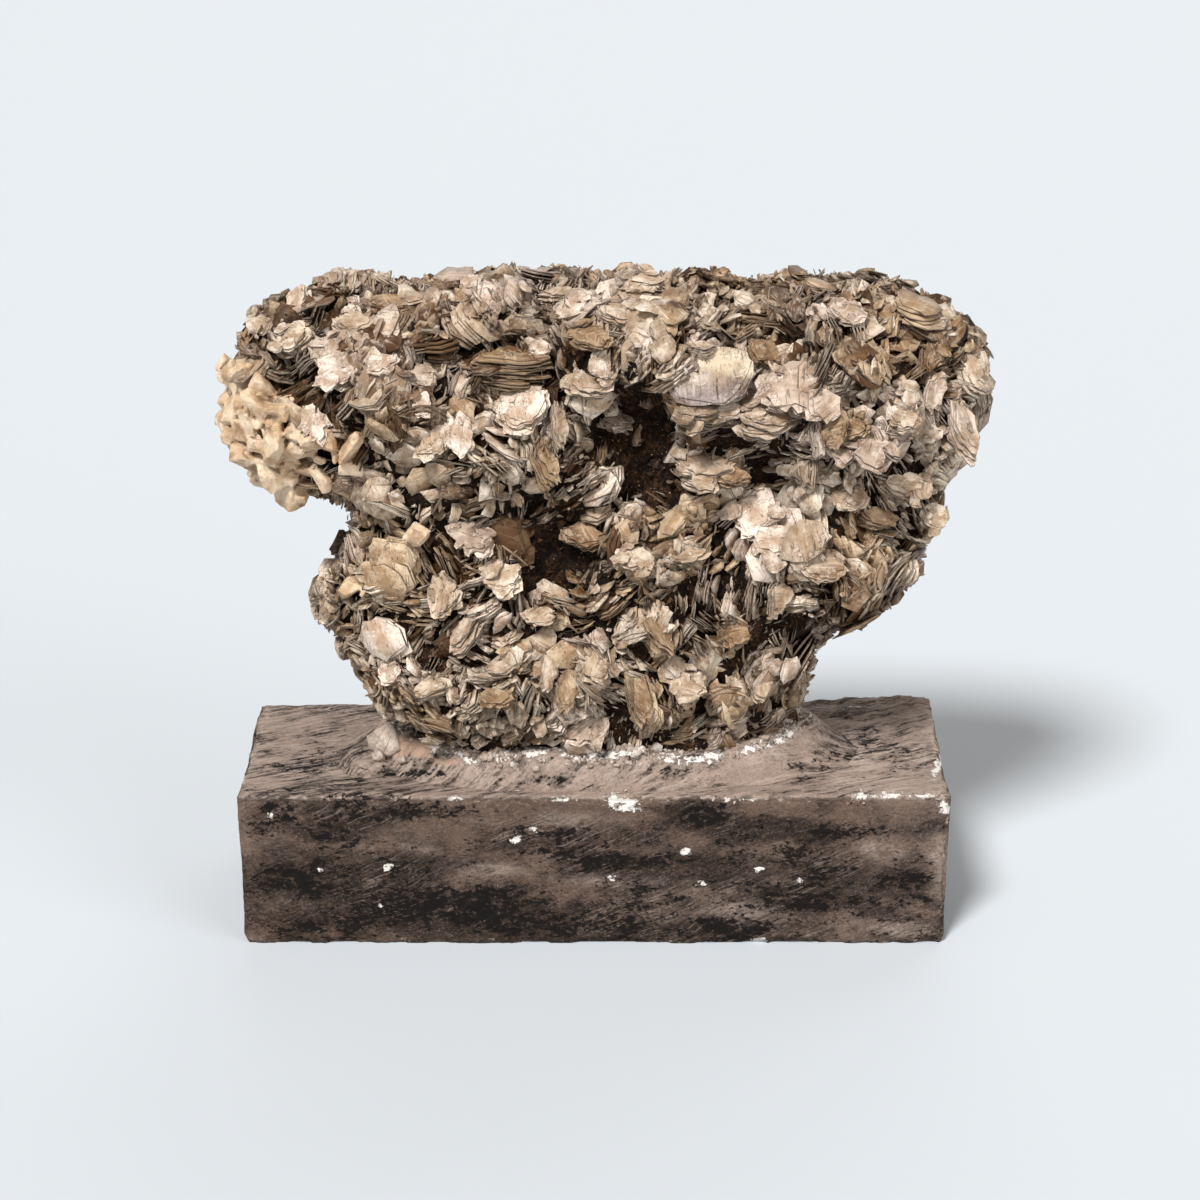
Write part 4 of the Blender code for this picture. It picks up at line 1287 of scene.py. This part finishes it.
for index, place in enumerate(lump_places):
    lump_tree.insert(place, index)
lump_tree.balance()
lump_tone = [lump_tones[lump_tree.find(vert.co)[1]] for vert in mass.verts]
creased = []
for vert in mass.verts:
    around = [edge.other_vert(vert).co for edge in vert.link_edges]
    hub = sum(around, Vector()) / len(around)
    creased.append((hub - vert.co).dot(vert.normal) / (0.2 * FELDSPAR_CELL))
for vert in mass.verts:
    mm = vert.co / MM
    vert.co += vert.normal * MM * rough(mm, LUMP_SKIN)
f = Finish("feldspar")
place = f.place()
cloud, mottle = f.grain(place, (110, 110, 110), 4, 0.6), f.grain(place, (320, 320, 320), 5, 0.7)
sugar, stripe = f.grain(place, (1400, 1400, 1400), 3, 0.7), f.grain(place, (160, 1500, 500), 3, 0.6)
crease = f.marked("crease")
tone = f.marked("tone") + (cloud - 0.5) * 1.1 + (mottle - 0.5) * 0.9
face = f.layered(
    f.toned(FELDSPAR_TONES, tone),
    (f.between(mottle, 0.54, 0.68) * 0.6, FELDSPAR_WHITE),
    # Brown where the surface folds in: stain together with painted shade in the creases.
    (f.between(crease + (mottle - 0.5) * 2.4, 0.25, 1.3) * 0.85, FELDSPAR_STAIN_AND_SHADE),
    (f.between(cloud, 0.40, 0.30) * 0.5, FELDSPAR_STAIN_AND_SHADE),
    (f.between(stripe, 0.42, 0.36) * 0.28, FELDSPAR_STAIN_AND_SHADE),
    (f.between(sugar, 0.60, 0.70) * 0.5, FELDSPAR_WHITE))
feldspar = in_mesh("feldspar_lumps", mass, f.wear(
    Base_Color=face, Roughness=0.40 + mottle * 0.3, Subsurface_Weight=0.14,
    Subsurface_Radius=(1.0, 0.6, 0.35), Subsurface_Scale=1.5 * MM,
    Normal=f.relief(mottle + sugar * 0.5 + stripe * 0.5, 0.7 * MM, 0.8)))
mark(feldspar, "crease", creased)
mark(feldspar, "tone", lump_tone)
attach(feldspar, "root")
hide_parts("mica_cluster")

# ---------------------------------------------------------------- plaster crumbs
# Where the bedding set against the crystal and where the brick's arris broke, white plaster
# stands in crumbs. They are part of the cast and are not loose.
CRUMB_RADIUS = 0.46 * MM
CRUMB_REACH = 2.6 * MM
CRUMB_STRAYS = 0.25 * MM
CHUNK_FACES = (-0.45, -0.60, 0.66)
THICK_RIM = [((486, 752), (56, 10), -14), ((655, 745), (44, 7), 8), ((752, 730), (52, 7), 14),
             ((600, 762), (40, 4), 0), ((820, 722), (26, 5), 10)]
CHUNKS = [  # lumps of plaster: place, radius and how tall for their width
    ((385, 744), 6.4, 0.62), ((378, 756), 2.0, 0.8), ((402, 760), 1.4, 0.8), ((444, 741), 1.6, 1.0),
    ((536, 768), 1.4, 1.0),
]
CRUMB_TONES = [tint(126, 105, 90), tint(178, 156, 138), tint(211, 195, 180), tint(234, 225, 217)]
CRUMB_STAIN, CRUMB_DUST, CRUMB_CRACK = tint(134, 115, 102), tint(240, 233, 226), tint(96, 80, 70)


def broken_finish(name):
    """Plaster broken into lumps, with stained hollows, sugary dust and fine cracks."""
    f = Finish(name)
    chart, _, _, column, row = chart_squares(f)
    cloud, sugar = f.grain(chart, (22, 22, 1), 4, 0.6), f.grain(chart, (150, 150, 1), 3, 0.7)
    split_line = f.grain(chart, (12, 150, 1), 3, 0.6)
    face = f.layered(
        f.toned(CRUMB_TONES, (row * ATLAS + column) / (FACE_SQUARES - 1)),
        (f.between(cloud, 0.58, 0.38) * 0.65, CRUMB_STAIN),
        (f.between(sugar, 0.54, 0.68) * 0.6, CRUMB_DUST),
        (f.between(sugar, 0.42, 0.34) * 0.7, CRUMB_STAIN),
        (f.between(split_line, 0.42, 0.36) * 0.6, CRUMB_CRACK))
    return f.wear(Base_Color=face, Roughness=0.5 + sugar * 0.2,
                  Normal=f.relief(sugar + split_line, 0.35 * MM, 0.6))


draw = np.random.default_rng(95)
foot = vertices_of(plaster_bedding).astype(float)
foot = foot[foot[:, 2] > BLOCK_HIGH.z]
from_foot = np.array([cluster_tree.find_nearest(Vector(p))[3] for p in foot])
clumped = np.array([noise.noise(Vector(p) / (7 * MM)) for p in foot])
rim = daubed(in_frame(foot), THICK_RIM)
near = from_foot < CRUMB_REACH * (0.7 + 1.5 * clumped + 1.1 * rim)
foot, rim = foot[near], rim[near]
some = draw.random(len(foot)) < 0.34 + 0.6 * rim
foot, rim = foot[some], rim[some]
arris = vertices_of(plaster_block).astype(float)
chipped = daubed(in_frame(arris), WHITE_CHIPS) > 0.35
arris = arris[chipped & (arris[:, 1] < BLOCK_LOW.y + 4 * MM) & (arris[:, 2] > BLOCK_HIGH.z - 3 * MM)]
arris = arris[draw.random(len(arris)) < 0.35]
points = np.concatenate([foot, arris])
points += draw.normal(0, CRUMB_STRAYS, points.shape)
radii = CRUMB_RADIUS * np.exp(draw.normal(0, 0.45, len(points)))
radii[:len(foot)] *= 1 + 0.5 * rim
shape = draw.integers(len(lumps), size=len(points))
heaps = []
for kind, lump in enumerate(lumps):
    mine = shape == kind
    if mine.any():
        facing = unit(draw.normal(size=(mine.sum(), 3)))
        heaps.append(laid(lump, points[mine], facing, radii[mine], radii[mine], draw,
                          draw.random(mine.sum()), 0))
draw = np.random.default_rng(97)
for number, (pixel, radius, tallness) in enumerate(CHUNKS):
    sight = sight_line(pixel)
    spot = (bedding_tree.ray_cast(VIEW_FROM, sight)[0]
            or VIEW_FROM + sight * ((BLOCK_HIGH.z - VIEW_FROM.z) / sight.z))
    heaps.append(laid(
        cleaved_lump(640 + number, slab=True), one(spot), one(unit(np.array(CHUNK_FACES))),
        one(radius * MM), one(radius * tallness * MM), draw, one(0.55), 0,
        longer=one(1.5), roll=one(0.5)))
crumbs = bound("plaster_crumbs", heaps, broken_finish("plaster_crumbs"))
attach(crumbs, "root")
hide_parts("plaster_bedding")
